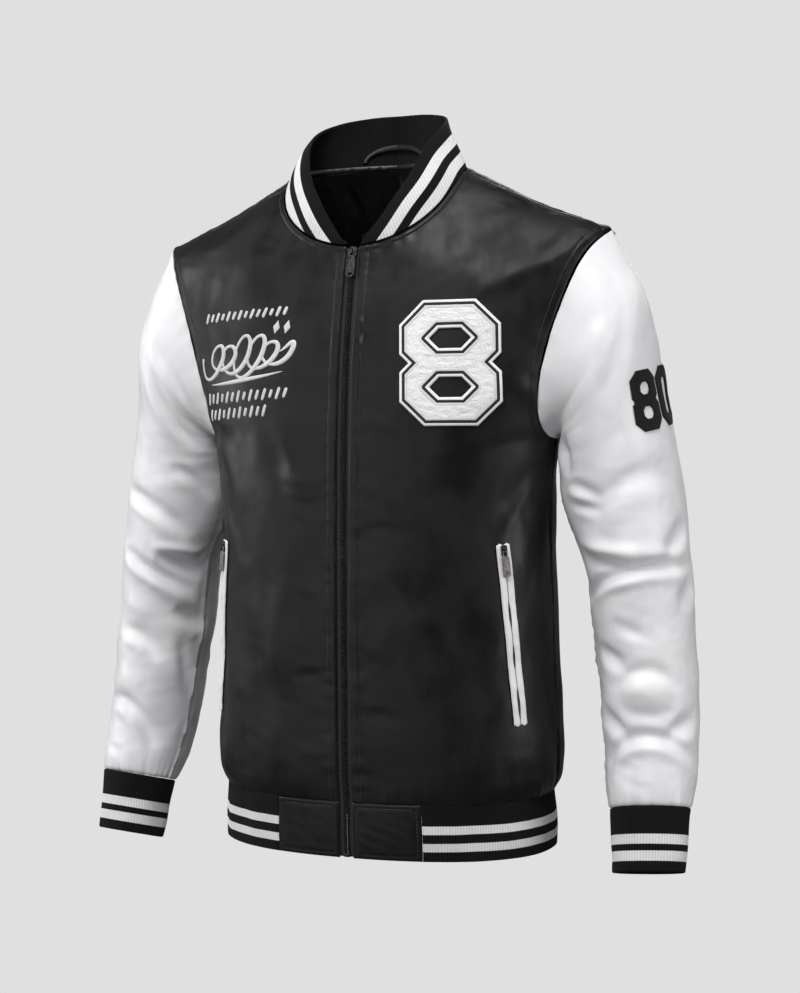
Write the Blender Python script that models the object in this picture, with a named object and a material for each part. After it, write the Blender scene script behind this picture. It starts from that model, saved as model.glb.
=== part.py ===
"""Varsity jacket, filled out as if worn: faux leather body and sleeves, striped rib collar, cuffs and hem.

Metres, +Z up, the front faces -Y and the wearer's left is +X. Heights in the tables are above the hem's
lower edge; every piece is lowered by HOLD_HEIGHT at the end, so that the origin is where the wearer's
shoulders hold the jacket up. The torso is a formula of an angle and a height, the sleeves are lofts through
sections, and every piece that lies on them is made from their points, moved out.
"""

import math

import bmesh
import bpy
import numpy as np
from mathutils import Matrix, Vector
from mathutils.bvhtree import BVHTree

for leftover in list(bpy.data.objects):
    bpy.data.objects.remove(leftover)

# ---------------------------------------------------------------- driving sizes
HOLD_HEIGHT = 0.630
SEAM_GAP = 0.0003

SHELL = 0.0013
KNIT = 0.0030
TAB = 0.0024
LINING = 0.0010

RIB_TOP = 0.0550
HEM_TURN_RADIUS = 0.17
PANEL_TURN_RADIUS = 0.2
ZIP_HALF_OPENING = 0.0070
TAB_END = 0.0760

SQUARENESS = 2.25
ROUNDING = 1.05
SHOULDER_TOP_DEPTH = 0.104

ARMPIT = 0.400
SHOULDER_TIP = 0.600
TIP_HALF_WIDTH = 0.236
ARMHOLE_HALF_ANGLE = {-1: math.radians(29), +1: math.radians(27)}
ARMHOLE_SQUARENESS = 2.4

NECK_HALF_WIDTH = 0.094
NECK_SIDE_UP = 0.664
NECK_FRONT_UP = 0.588
NECK_BACK_UP = 0.675
SEAM_FORWARD = 0.015

FRONT, BACK = -1, +1


def columns(names, *rows):
    """A table as a dict of arrays, one for each named column."""
    return dict(zip(names.split(), np.array(rows, float).T))


TORSO = columns(
    "up     half_width  front   back",
    (0.056, 0.1705, 0.1100, 0.1010),
    (0.064, 0.1755, 0.1110, 0.1070),
    (0.085, 0.1795, 0.1125, 0.1110),
    (0.140, 0.1780, 0.1120, 0.1110),
    (0.245, 0.1745, 0.1105, 0.1060),
    (0.335, 0.1740, 0.1080, 0.1080),
    (0.400, 0.1800, 0.1050, 0.1140),
    (0.485, 0.2090, 0.0960, 0.1180),
    (0.550, 0.2290, 0.0830, 0.1130),
    (0.600, 0.2360, 0.0710, 0.1000),
    (0.640, 0.2360, 0.0640, 0.0820),
    (0.700, 0.2360, 0.0590, 0.0480),
)

HEM = columns(
    "up     half_width  front   back",
    (0.0000, 0.1720, 0.1085, 0.1005),
    (0.0180, 0.1725, 0.1095, 0.1010),
    (0.0550, 0.1695, 0.1098, 0.1000),
)

# The sleeve's sections below the armhole: centre, lean outwards, pitch forwards, and half sizes.
SLEEVE = columns(
    "along  x       y        up      lean  pitch  half_out  half_deep",
    (0.055, 0.2260, 0.0090, 0.4690, 58.0, -3.0, 0.0770, 0.0640),
    (0.115, 0.2310, 0.0190, 0.4130, 27.0, -8.0, 0.0570, 0.0670),
    (0.190, 0.2400, 0.0230, 0.3450, 11.0, -4.0, 0.0580, 0.0660),
    (0.260, 0.2550, 0.0210, 0.2780, 6.0, 0.0, 0.0500, 0.0620),
    (0.325, 0.2615, 0.0190, 0.2130, 3.0, 5.0, 0.0485, 0.0570),
    (0.400, 0.2690, 0.0095, 0.1400, 3.0, 11.0, 0.0460, 0.0530),
    (0.455, 0.2735, -0.0030, 0.0860, 4.0, 14.0, 0.0440, 0.0470),
    (0.480, 0.2755, -0.0150, 0.0620, 4.7, 15.0, 0.0410, 0.0410),
    (0.491, 0.2767, -0.0215, 0.0500, 4.7, 15.0, 0.0390, 0.0345),
)

CUFF = columns(
    "x       y        up       lean  pitch  half_out  half_deep",
    (0.2767, -0.0217, 0.0493, 4.7, 15.0, 0.0386, 0.0335),
    (0.2775, -0.0275, 0.0300, 4.7, 15.0, 0.0370, 0.0310),
    (0.2788, -0.0365, -0.0035, 4.7, 15.0, 0.0352, 0.0290),
    (0.2790, -0.0377, -0.0080, 4.7, 15.0, 0.0348, 0.0286),
)

# The collar's top edge, from its front end round the wearer's left side to the centre back.
COLLAR_TOP = columns(
    "x       y        up",
    (0.0115, -0.0740, 0.5955),
    (0.0250, -0.0700, 0.6130),
    (0.0385, -0.0640, 0.6340),
    (0.0510, -0.0560, 0.6545),
    (0.0620, -0.0400, 0.6830),
    (0.0680, -0.0180, 0.7010),
    (0.0670, 0.0060, 0.7130),
    (0.0560, 0.0310, 0.7220),
    (0.0300, 0.0460, 0.7270),
    (0.0000, 0.0500, 0.7280),
)

# The largest folds. On the torso "across" is the angle from the centre line to the side, and on a sleeve
# it is the angle from its outer side towards the front. A positive depth is a ridge, in metres.
FOLD_COLUMNS = "across_a  up_a  across_b  up_b  half_width  depth"
FRONT_FOLDS = {
    +1: columns(
        FOLD_COLUMNS,
        (86, 0.385, 40, 0.300, 0.020, -0.0035),
        (74, 0.250, 88, 0.080, 0.014, -0.0030),
        (60, 0.470, 25, 0.400, 0.024, 0.0030),
    ),
    -1: columns(
        FOLD_COLUMNS,
        (86, 0.385, 60, 0.270, 0.018, -0.0035),
        (80, 0.200, 62, 0.080, 0.015, -0.0030),
        (64, 0.450, 40, 0.330, 0.022, 0.0025),
    ),
}
BACK_FOLDS = columns(
    FOLD_COLUMNS,
    (84, 0.390, 45, 0.270, 0.022, -0.0035),
    (62, 0.480, 50, 0.180, 0.026, 0.0030),
    (30, 0.260, 42, 0.075, 0.020, -0.0030),
)
SLEEVE_FOLDS = {
    +1: columns(
        FOLD_COLUMNS,
        (150, 0.150, 30, 0.250, 0.012, -0.0050),
        (160, 0.255, -10, 0.235, 0.010, -0.0065),
        (20, 0.330, 150, 0.345, 0.010, -0.0045),
        (160, 0.425, 10, 0.430, 0.009, -0.0050),
        (210, 0.300, 330, 0.270, 0.012, -0.0060),
        (220, 0.400, 320, 0.370, 0.012, -0.0050),
    ),
    -1: columns(
        FOLD_COLUMNS,
        (165, 0.140, 60, 0.060, 0.012, -0.0050),
        (165, 0.235, 70, 0.150, 0.012, -0.0050),
        (130, 0.275, 20, 0.235, 0.010, -0.0070),
        (110, 0.360, 20, 0.310, 0.010, -0.0045),
        (110, 0.445, 20, 0.390, 0.010, -0.0045),
        (210, 0.300, 330, 0.270, 0.012, -0.0060),
    ),
}

# Places on the front, as the distance from the centre plane and the height.
POCKET_TOP = (0.1436, 0.3020)
POCKET_FOOT = (0.1630, 0.1280)
LIP_WIDTH = 0.0060
LIP_THICK = 0.0016
POCKET_SLIT = 0.0024
LAY_GAP = 0.0005
POCKET_OUT = (0.62, -0.78)
LIP_CORNER = 0.0008
LIP_CELL = 0.012
ZIP_CORNER = 0.0002
ZIP_SHORTER = 0.003
ZIP_THICK = 0.0006
SLIDER_BELOW_TOP = 0.008
SLIDER_CLEAR = 0.0008
TAB_FROM = 0.004
TAB_TO = 0.020
AIM_FROM = 0.4

PATCH_CENTRE = (0.1045, 0.4732)
PATCH_SIZE = (0.0960, 0.1190)
PATCH_THICK = 0.0022
PATCH_GAP = 0.0012
PATCH_STROKE = 0.0270
PATCH_CELL = 0.013
EIGHT_CORNER = 0.24
EIGHT_WAIST = 0.09
COUNTER_CORNER = 0.25
NOUGHT_CORNER = 0.28
NOUGHT_INNER_CORNER = 0.2
DIGIT_STROKE = 0.0115
DIGIT_CELL = 0.009
DIGIT_GAP = 0.0009
DIGIT_UP = 0.4339
DIGIT_SIZE = (0.0365, 0.0580)
DIGIT_SPACE = 0.0035
DIGIT_MIDDLE = 12
DIGIT_THICK = 0.0010

ZIP_CHAIN = 0.0068
ZIP_CHAIN_DEEP = 0.0022
ZIP_BOX = 0.0064
ZIP_BOX_DEEP = 0.0028
ZIP_TAPE = 0.0100
ZIP_TAPE_DEEP = 0.0008
ZIP_TAPE_INSET = 0.0036
ZIP_SINK = 0.0008
CHAIN_FOOT = 0.0050
CHAIN_TOP = 0.5755

AROUND = 20
COLLAR_GAP = 0.0019
COLLAR_ROWS = np.array([0.0, 0.25, 0.6, 1.0])
COLLAR_BULGE = 0.0030
COLLAR_COLUMNS = 37
SLEEVE_AXIS = (Vector((0.2260, 0.0090, 0.4690)), Vector((0.2400, 0.0230, 0.3450)))
WRAP_RADIUS = 0.0560

BINDING_HIGH = 0.0056
BINDING_THICK = 0.0020
BINDING_SPAN = (0.30, 0.70)
BINDING_LIFT = 0.0016
COLLAR_BACK_HEIGHT = 0.052
LOOP_CLEAR = 0.0006
LOOP_LIFT = 0.0014
LOOP_HALF_WIDTH = 0.0360
LOOP_RISE = 0.0200
LOOP_STRAP = 0.0060
LOOP_THICK = 0.0012

COLOURS = {
    "black_leather": (0.012, 0.012, 0.013, 1.0),
    "white_leather": (0.80, 0.79, 0.80, 1.0),
    "rib_knit": (0.010, 0.010, 0.011, 1.0),
    "satin": (0.008, 0.008, 0.009, 1.0),
    "zip_tape": (0.012, 0.012, 0.013, 1.0),
    "dark_metal": (0.12, 0.12, 0.12, 1.0),
    "steel": (0.42, 0.41, 0.41, 1.0),
    "white_felt": (0.82, 0.82, 0.82, 1.0),
    "black_felt": (0.012, 0.012, 0.013, 1.0),
}
ROUGHNESS = {"black_leather": 0.42, "white_leather": 0.45, "satin": 0.3, "dark_metal": 0.35, "steel": 0.3}


# ---------------------------------------------------------------- curves and surfaces
def spline(knots, values, at):
    """A smooth curve through the rows: cubic pieces whose slopes are those of the neighbouring rows."""
    slopes = np.gradient(values, knots, axis=0)
    at = np.clip(at, knots[0], knots[-1])
    i = np.clip(np.searchsorted(knots, at) - 1, 0, len(knots) - 2)
    span = knots[i + 1] - knots[i]
    t = (at - knots[i]) / span
    if np.ndim(at) and values.ndim > 1:
        t, span = t[:, None], span[:, None]
    return (
        values[i] * (1 + 2 * t) * (1 - t) ** 2
        + values[i + 1] * t * t * (3 - 2 * t)
        + slopes[i] * span * t * (1 - t) ** 2
        - slopes[i + 1] * span * t * t * (1 - t)
    )


def column(table, name, at, knots="up"):
    return spline(table[knots], table[name], at)


def stroke_depth(folds, across, up, radius, around=False):
    """The folds' depth at each place: each is a straight soft trough or ridge that fades out at its ends."""
    total = np.zeros(np.broadcast(across, up).shape)
    for i in range(len(folds["depth"])):
        turns = (-360, 0, 360) if around else (0,)
        nearest = np.zeros_like(total)
        for turn in turns:
            a = np.array([folds["across_a"][i] * math.pi / 180 * radius, folds["up_a"][i]])
            b = np.array([folds["across_b"][i] * math.pi / 180 * radius, folds["up_b"][i]])
            px = np.radians(across + turn) * radius - a[0]
            py = up - a[1]
            d = b - a
            length = np.hypot(*d)
            along = (px * d[0] + py * d[1]) / length**2
            off = (px * d[1] - py * d[0]) / length
            fade = np.sin(math.pi * np.clip(along, 0, 1))
            nearest = np.maximum(nearest, fade * np.exp(-((off / folds["half_width"][i]) ** 2)))
        total += folds["depth"][i] * nearest
    return total


def ridge_up(x):
    """The height of the shoulder's ridge at x, a nearly straight slope from the neck to the tip."""
    t = (np.clip(x, 0, TIP_HALF_WIDTH) - NECK_HALF_WIDTH) / (TIP_HALF_WIDTH - NECK_HALF_WIDTH)
    return NECK_SIDE_UP + (SHOULDER_TIP - NECK_SIDE_UP) * t - 0.004 * np.sin(math.pi * np.clip(t, 0, 1))


def roundness(x):
    share = np.clip(x / TIP_HALF_WIDTH, 0, 1) ** SQUARENESS
    return (1 - share) ** (1 / SQUARENESS)


def rounding_height(x):
    """How far below the ridge the cloth starts to turn over the shoulder."""
    return np.maximum(ROUNDING * SHOULDER_TOP_DEPTH * roundness(x), 1e-4)


def edge_angle(cloth_up, face):
    """The angle at which the panel ends: the side seam, cut back round the armhole."""
    middle = (SHOULDER_TIP + ARMPIT) / 2
    share = np.clip(np.abs(cloth_up - middle) / (SHOULDER_TIP - middle), 0, 1)
    cut = (1 - share**ARMHOLE_SQUARENESS) ** (1 / ARMHOLE_SQUARENESS)
    return math.pi / 2 - ARMHOLE_HALF_ANGLE[face] * cut


def torso(angle, cloth_up, face, side=+1):
    """Points of the torso. The angle is 0 at the centre line and a right angle at the side. cloth_up is the
    height along the cloth, which turns over the shoulder's ridge; past the ridge it is on the other face."""
    x = column(TORSO, "half_width", cloth_up) * np.sin(angle) ** (2 / SQUARENESS)
    ridge, drop = ridge_up(x), rounding_height(x)
    turn = np.clip((cloth_up - (ridge - drop)) / drop, 0, math.pi)
    up = np.where(turn > 0, ridge - drop + drop * np.sin(turn), cloth_up)
    over = turn > math.pi / 2
    near = {FRONT: column(TORSO, "front", up), BACK: column(TORSO, "back", up)}
    depth = np.where(over, near[-face], near[face])
    ring = np.cos(angle) ** (2 / SQUARENESS)
    lean = np.where(turn > 0, np.cos(turn), 1.0)
    # A cut line on the ridge side keeps the ring's own roundness at that x.
    y = face * depth * np.where(turn > 0, roundness(x), ring) * lean
    folds = BACK_FOLDS if face == BACK else FRONT_FOLDS[side]
    out = stroke_depth(folds, np.degrees(angle), cloth_up, 0.16)
    length = np.sqrt(np.sin(angle) ** 2 + np.cos(angle) ** 2)
    x = x + out * np.sin(angle) / length
    y = y + face * out * np.cos(angle) / length
    return np.stack([side * x, y, up], axis=-1)


def centre_angle(cloth_up, x):
    """The angle at which the torso is x from the centre plane."""
    return np.arcsin((x / column(TORSO, "half_width", cloth_up)) ** (SQUARENESS / 2))


def panel_end(across, start_x, face):
    """The height along the cloth where a panel's columns end: the neck curve, then the shoulder seam."""
    end = np.full_like(across, SHOULDER_TIP)
    for _ in range(6):
        angle = across_angle(across, end, start_x, face)
        x = column(TORSO, "half_width", end) * np.sin(angle) ** (2 / SQUARENESS)
        ridge, drop = ridge_up(x), rounding_height(x)
        share = np.clip((x - NECK_HALF_WIDTH) / (TIP_HALF_WIDTH - NECK_HALF_WIDTH), 0, 1)
        forward = SEAM_FORWARD * (1 - share)
        depth = column(TORSO, "front", ridge) * roundness(x)
        lean = np.arccos(np.clip(forward / np.maximum(depth, 1e-4), 0, 1))
        seam = ridge - drop + drop * (lean if face == FRONT else math.pi - lean)
        scoop = np.sqrt(np.clip(1 - (x / NECK_HALF_WIDTH) ** 2, 0, 1))
        lowest = NECK_FRONT_UP if face == FRONT else NECK_BACK_UP
        neck = NECK_SIDE_UP + (lowest - NECK_SIDE_UP) * scoop
        rise = np.clip((neck - (ridge - drop)) / drop, -9, 1)
        turned = ridge - drop + drop * np.arcsin(np.clip(rise, 0, 1))
        neck = np.where(rise > 0, turned, neck)
        end = np.where(x < NECK_HALF_WIDTH, neck, seam)
    return end


def across_angle(across, cloth_up, start_x, face):
    start = centre_angle(cloth_up, start_x) if start_x else 0.0
    return start + (edge_angle(cloth_up, face) - start) * across


def normals_of(grid, wraps=False):
    """Unit normals of a grid of points, rows up the cloth and columns across it."""
    if wraps:
        padded = np.concatenate([grid[:, -1:], grid, grid[:, :1]], axis=1)
        across = np.gradient(padded, axis=1)[:, 1:-1]
    else:
        across = np.gradient(grid, axis=1)
    up = np.gradient(grid, axis=0)
    n = np.cross(across, up)
    return n / np.maximum(np.linalg.norm(n, axis=-1, keepdims=True), 1e-12)


# ---------------------------------------------------------------- making solids
def material(name):
    found = bpy.data.materials.get(name)
    if found:
        return found
    made = bpy.data.materials.new(name)
    made.use_nodes = True
    shader = made.node_tree.nodes["Principled BSDF"]
    shader.inputs["Base Color"].default_value = COLOURS[name]
    shader.inputs["Roughness"].default_value = ROUGHNESS.get(name, 0.85)
    shader.inputs["Metallic"].default_value = float(name in ("dark_metal", "steel"))
    return made


def add_object(name, mesh, material_name):
    mesh.materials.append(material(material_name))
    made = bpy.data.objects.new(name, mesh)
    made.location.z = -HOLD_HEIGHT
    bpy.context.scene.collection.objects.link(made)
    mesh.shade_smooth()
    mesh.set_sharp_from_angle(angle=math.radians(40))
    return made


def mesh_of(name, points, faces):
    mesh = bpy.data.meshes.new(name)
    mesh.from_pydata(points.tolist(), [], faces)
    shape = bmesh.new()
    shape.from_mesh(mesh)
    bmesh.ops.recalc_face_normals(shape, faces=shape.faces)
    shape.to_mesh(mesh)
    shape.free()
    return mesh


def wall(name, outer, inner, material_name, wraps=False):
    """A closed solid between two grids of points. A wall that wraps joins its last column to its first."""
    rows, cols = outer.shape[:2]
    points = np.concatenate([outer.reshape(-1, 3), inner.reshape(-1, 3)])
    far = rows * cols
    last = cols if wraps else cols - 1
    faces = []
    for r in range(rows - 1):
        for c in range(last):
            a, b = r * cols + c, r * cols + (c + 1) % cols
            faces.append((a, b, b + cols, a + cols))
            faces.append((far + a, far + a + cols, far + b + cols, far + b))
    for c in range(last):
        for a, b in ((c, (c + 1) % cols), ((rows - 1) * cols + c, (rows - 1) * cols + (c + 1) % cols)):
            faces.append((a, far + a, far + b, b))
    if not wraps:
        for r in range(rows - 1):
            for a in (r * cols, r * cols + cols - 1):
                faces.append((a, a + cols, far + a + cols, far + a))
    return add_object(name, mesh_of(name, points, faces), material_name)


def cloth(name, grid, thickness, material_name, wraps=False, outwards=1, lift=0.0):
    """A wall of cloth whose outer side is lifted off the grid, along normals that point out of the jacket."""
    n = normals_of(grid, wraps) * outwards
    return wall(name, grid + n * lift, grid + n * (lift - thickness), material_name, wraps)


# ---------------------------------------------------------------- body panels
NECK_CORNER = 0.2214
LOWER_ROWS = (0.0558, 0.066, 0.085, 0.125, 0.180, 0.240, 0.300, 0.355)
UPPER_STEPS = 10
SHOULDER_INSET = 0.0007
LINING_FROM = 8
FRONT_COLUMNS = (0, 0.06, 0.12, 0.175, NECK_CORNER, 0.262, 0.34, 0.44, 0.55, 0.66, 0.77, 0.87, 0.94, 1.0)
SEAM_START = math.asin((ZIP_HALF_OPENING / TIP_HALF_WIDTH) ** (SQUARENESS / 2)) / (math.pi / 2)
BACK_COLUMNS = (0, *(SEAM_START + (1 - SEAM_START) * a for a in FRONT_COLUMNS[1:]))


def panel(face, side, start_x, across, rows=LOWER_ROWS, steps=UPPER_STEPS):
    """One half of a body panel as a grid, from the hem seam to the neck and shoulder, centre to side."""
    across = np.array(across, float)
    end = panel_end(across, start_x, face)
    share = (1 - np.cos(np.linspace(0, math.pi, steps))) / 2
    lower = np.repeat(np.array(rows)[:, None], len(across), axis=1)
    upper = ARMPIT + (end - SHOULDER_INSET - ARMPIT) * share[:, None]
    up = np.concatenate([lower, upper])
    angle = across_angle(across, up, start_x, face)
    inset = 2 * SEAM_GAP / PANEL_TURN_RADIUS * np.clip((across - 0.9) / 0.1, 0, 1)
    return torso(angle - inset, up, face, side)


SIDES = (("left", +1), ("right", -1))
fronts = {}
for side_name, side in SIDES:
    grid = panel(FRONT, side, ZIP_HALF_OPENING, FRONT_COLUMNS)
    fronts[side] = cloth("front_" + side_name, grid, SHELL, "black_leather", outwards=side)

back_half = panel(BACK, +1, 0.0, BACK_COLUMNS)
back_mirror = back_half[:, :0:-1] * np.array([-1, 1, 1])
back_grid = np.concatenate([back_mirror, back_half], axis=1)
cloth("back", back_grid, SHELL, "black_leather", outwards=-1)
cloth("back_lining", back_grid[LINING_FROM:, 1:-1], LINING, "satin", outwards=-1, lift=-(SHELL + 0.0006))


# ---------------------------------------------------------------- sleeves and cuffs
def armhole(around):
    """The armhole's curve on the wearer's left, at angles round the sleeve from its top towards the front."""
    middle = (SHOULDER_TIP + ARMPIT) / 2
    up = middle + (SHOULDER_TIP - middle) * np.cos(around)
    in_front = torso(edge_angle(up, FRONT), up, FRONT)
    behind = torso(edge_angle(up, BACK), up, BACK)
    return np.where(np.sin(around)[:, None] > 0, in_front, behind)


def section(row, around):
    """A ring of the sleeve: an ellipse in a plane that leans from level by the row's angle."""
    lean = math.radians(row["lean"])
    out = np.array([math.cos(lean), 0, math.sin(lean)]) * row["half_out"]
    pitch = math.radians(row["pitch"])
    deep = np.array([0, -math.cos(pitch), math.sin(pitch)]) * row["half_deep"]
    centre = np.array([row["x"], row["y"], row["up"]])
    return centre + np.cos(around)[:, None] * out + np.sin(around)[:, None] * deep


def rows_of(table):
    return [dict(zip(table, values)) for values in zip(*table.values())]


def sleeve_grid(side, around, along):
    rings = [armhole(around)] + [section(row, around) for row in rows_of(SLEEVE)]
    knots = np.concatenate([[0.0], SLEEVE["along"]])
    grid = np.stack([spline(knots, np.stack(rings), a) for a in along])
    folds = stroke_depth(
        SLEEVE_FOLDS[side],
        np.degrees(around)[None, :],
        np.array(along)[:, None],
        0.055,
        around=True,
    )
    fade = np.clip((np.array(along) - 0.02) / 0.05, 0, 1) * np.clip((0.48 - np.array(along)) / 0.03, 0, 1)
    grid = grid + normals_of(grid, wraps=True) * (folds * fade[:, None])[..., None]
    return grid * np.array([side, 1, 1])


around = np.linspace(0, 2 * math.pi, AROUND, endpoint=False) + 1e-4
along = np.concatenate([[0.0024, 0.02], np.linspace(0.045, 0.455, 15), [0.472, 0.484, 0.491]])
sleeves = {}
for side_name, side in SIDES:
    grid = sleeve_grid(side, around, along)
    sleeves[side] = cloth("sleeve_" + side_name, grid, SHELL, "white_leather", wraps=True, outwards=side)
    rings = []
    for row in rows_of(CUFF):
        rings.append(section(row, around) * np.array([side, 1, 1]))
    cloth("cuff_" + side_name, np.stack(rings), KNIT, "rib_knit", wraps=True, outwards=side)


# ---------------------------------------------------------------- hem
def hem_ring(angle, up):
    """Points of the hem band: the angle is 0 at the centre front and half a turn at the centre back."""
    face_depth = np.where(np.cos(angle) > 0, column(HEM, "front", up), column(HEM, "back", up))
    s, c = np.sin(angle), np.cos(angle)
    x = column(HEM, "half_width", up) * np.sign(s) * np.abs(s) ** (2 / SQUARENESS)
    y = -face_depth * np.sign(c) * np.abs(c) ** (2 / SQUARENESS)
    return np.stack([x, y, up + 0 * angle], axis=-1)


def hem_angle(x):
    return math.asin((x / HEM["half_width"][0]) ** (SQUARENESS / 2))


HEM_ROWS = np.array([0.0, 0.018, RIB_TOP - 0.0002])[:, None]
tab_end, zip_edge = hem_angle(TAB_END), hem_angle(ZIP_HALF_OPENING)
seam_turn = SEAM_GAP / HEM_TURN_RADIUS
for side_name, side in SIDES:
    angles = np.linspace(zip_edge, tab_end - seam_turn, 6)[None, :]
    grid = hem_ring(angles, HEM_ROWS) * np.array([side, 1, 1])
    cloth("hem_tab_" + side_name, grid, TAB, "black_leather", outwards=side)
angles = np.linspace(tab_end + seam_turn, 2 * math.pi - tab_end - seam_turn, 44)[None, :]
cloth("hem_rib", hem_ring(angles, HEM_ROWS), KNIT, "rib_knit", outwards=1)


# ---------------------------------------------------------------- collar, neck binding and hanger loop


table_corner = FRONT_COLUMNS.index(NECK_CORNER)


def neck_seam():
    """The panels' corners along the neck on the wearer's left, from the centre front to the centre back."""
    parts = []
    for face, start_x, table in ((FRONT, ZIP_HALF_OPENING, FRONT_COLUMNS), (BACK, 0.0, BACK_COLUMNS)):
        across = np.array(table[: table_corner + 1], float)
        end = panel_end(across, start_x, face)
        points = torso(across_angle(across, end, start_x, face), end, face)
        parts.append(points if face == FRONT else points[-2::-1])
    return np.concatenate(parts)


def share_along(points):
    """Each point's distance along a line, as a share of its length."""
    steps = np.linalg.norm(np.diff(points, axis=0), axis=1)
    return np.concatenate([[0], np.cumsum(steps)]) / steps.sum()


def both_sides(points):
    """A line on the wearer's left carried on, mirrored, to its end on the wearer's right."""
    return np.concatenate([points, points[-2::-1] * np.array([-1, 1, 1])])


def straight(points, share):
    """Places along a line of straight pieces."""
    knots = share_along(points)
    return np.stack([np.interp(share, knots, points[:, k]) for k in range(3)], axis=1)


seam_line = both_sides(neck_seam())
top_line = both_sides(np.stack([COLLAR_TOP["x"], COLLAR_TOP["y"], COLLAR_TOP["up"]], axis=1))


def collar_grid(share, rise):
    """Points of the collar's outer side: share runs round from the wearer's left, rise from seam to edge."""
    foot = straight(seam_line, share)
    top = spline(share_along(top_line), top_line, share)
    tangent = np.gradient(foot, axis=0)
    tangent /= np.linalg.norm(tangent, axis=1, keepdims=True)
    upwards = top - foot
    upwards = upwards - tangent * (upwards * tangent).sum(axis=1, keepdims=True)
    upwards /= np.linalg.norm(upwards, axis=1, keepdims=True)
    foot = foot + upwards * COLLAR_GAP
    grid = foot + (top - foot) * rise[:, None, None]
    bulge = COLLAR_BULGE * np.sin(math.pi * rise)[:, None] * np.sin(math.pi * np.clip(share * 4, 0, 0.5))
    return grid + normals_of(grid) * bulge[..., None]


share = (1 - np.cos(np.linspace(0, math.pi, COLLAR_COLUMNS))) / 2
share = 0.5 * share + 0.5 * np.linspace(0, 1, COLLAR_COLUMNS)
cloth("collar", collar_grid(share, COLLAR_ROWS), KNIT, "rib_knit", outwards=1)

binding_share = np.linspace(*BINDING_SPAN, 21)
foot = straight(seam_line, binding_share)
tangent = np.gradient(foot, axis=0)
inwards = np.stack([-tangent[:, 1], tangent[:, 0], 0 * tangent[:, 0]], axis=1)
inwards /= np.linalg.norm(inwards, axis=1, keepdims=True)
upright = np.array([0.0, 0.0, 1.0])
binding_rows = np.linspace(-0.5, 0.5, 3)[:, None, None] * BINDING_HIGH * upright
binding = foot + inwards * (KNIT + BINDING_LIFT) + binding_rows
wall("neck_binding", binding, binding + inwards * BINDING_THICK, "satin")

# The loop is an arch on the collar's inner side, drawn in distances along the seam and up the collar.
turn = np.linspace(0, math.pi, 15)
seam_length = np.linalg.norm(np.diff(seam_line, axis=0), axis=1).sum()
strap = []
for edge in (-LOOP_STRAP / 2, LOOP_STRAP / 2):
    along_seam = -(LOOP_HALF_WIDTH + edge) * np.cos(turn)
    rise = BINDING_HIGH / 2 + LOOP_STRAP / 2 + LOOP_CLEAR + (LOOP_RISE - LOOP_STRAP + edge) * np.sin(turn)
    points = []
    for a, h in zip(0.5 + along_seam / seam_length, rise / COLLAR_BACK_HEIGHT):
        steps = np.array([a - 0.01, a, a + 0.01])
        patch = collar_grid(steps, np.array([h - 0.05, h, h + 0.05]))
        points.append(patch[1, 1] - normals_of(patch)[1, 1] * (KNIT + LOOP_LIFT))
    strap.append(np.stack(points))
strap = np.stack(strap)
cloth("hanger_loop", strap, LOOP_THICK, "black_leather", outwards=1)


# ---------------------------------------------------------------- front zip
def front_depth(up):
    """How far the centre front stands in front of the centre plane of the shoulders, hem and body alike."""
    return np.where(up < RIB_TOP, column(HEM, "front", up), column(TORSO, "front", up))


def front_strip(x, up, inset):
    up = np.array(up, float)[:, None]
    x = np.array(x, float)[None, :]
    return np.stack(np.broadcast_arrays(x, inset - front_depth(up), up), axis=-1)


chain_rows = np.linspace(CHAIN_FOOT, CHAIN_TOP, 25)
chain = front_strip([-ZIP_CHAIN / 2, 0, ZIP_CHAIN / 2], chain_rows, ZIP_SINK)
wall("zip_chain", chain, chain + [0, ZIP_CHAIN_DEEP, 0], "dark_metal")
box = front_strip([-ZIP_BOX / 2, ZIP_BOX / 2], [0.0010, CHAIN_FOOT - SEAM_GAP], ZIP_SINK - 0.0004)
wall("zip_box", box, box + [0, ZIP_BOX_DEEP, 0], "dark_metal")
tape_rows = np.linspace(0.001, NECK_FRONT_UP - 0.002, 25)
for side_name, side in SIDES:
    edges = [side * (ZIP_CHAIN / 2 + SEAM_GAP), side * (ZIP_CHAIN / 2 + SEAM_GAP + ZIP_TAPE)]
    tape = front_strip(edges, tape_rows, ZIP_TAPE_INSET)
    wall("zip_tape_" + side_name, tape, tape + [0, ZIP_TAPE_DEEP, 0], "zip_tape")


# ---------------------------------------------------------------- flat pieces cut from an outline
def chamfered(width, height, corner, centre=(0, 0)):
    """The eight corners of a rectangle with its corners cut off."""
    w, h = width / 2, height / 2
    ring = [(w - corner, h), (w, h - corner), (w, corner - h), (w - corner, -h)]
    ring = ring + [(-x, -y) for x, y in ring]
    return [(centre[0] + x, centre[1] + y) for x, y in ring]


def circle(radius, centre=(0, 0), points=12):
    turns = [2 * math.pi * i / points for i in range(points)]
    return [(centre[0] + radius * math.cos(a), centre[1] + radius * math.sin(a)) for a in turns]


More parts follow.
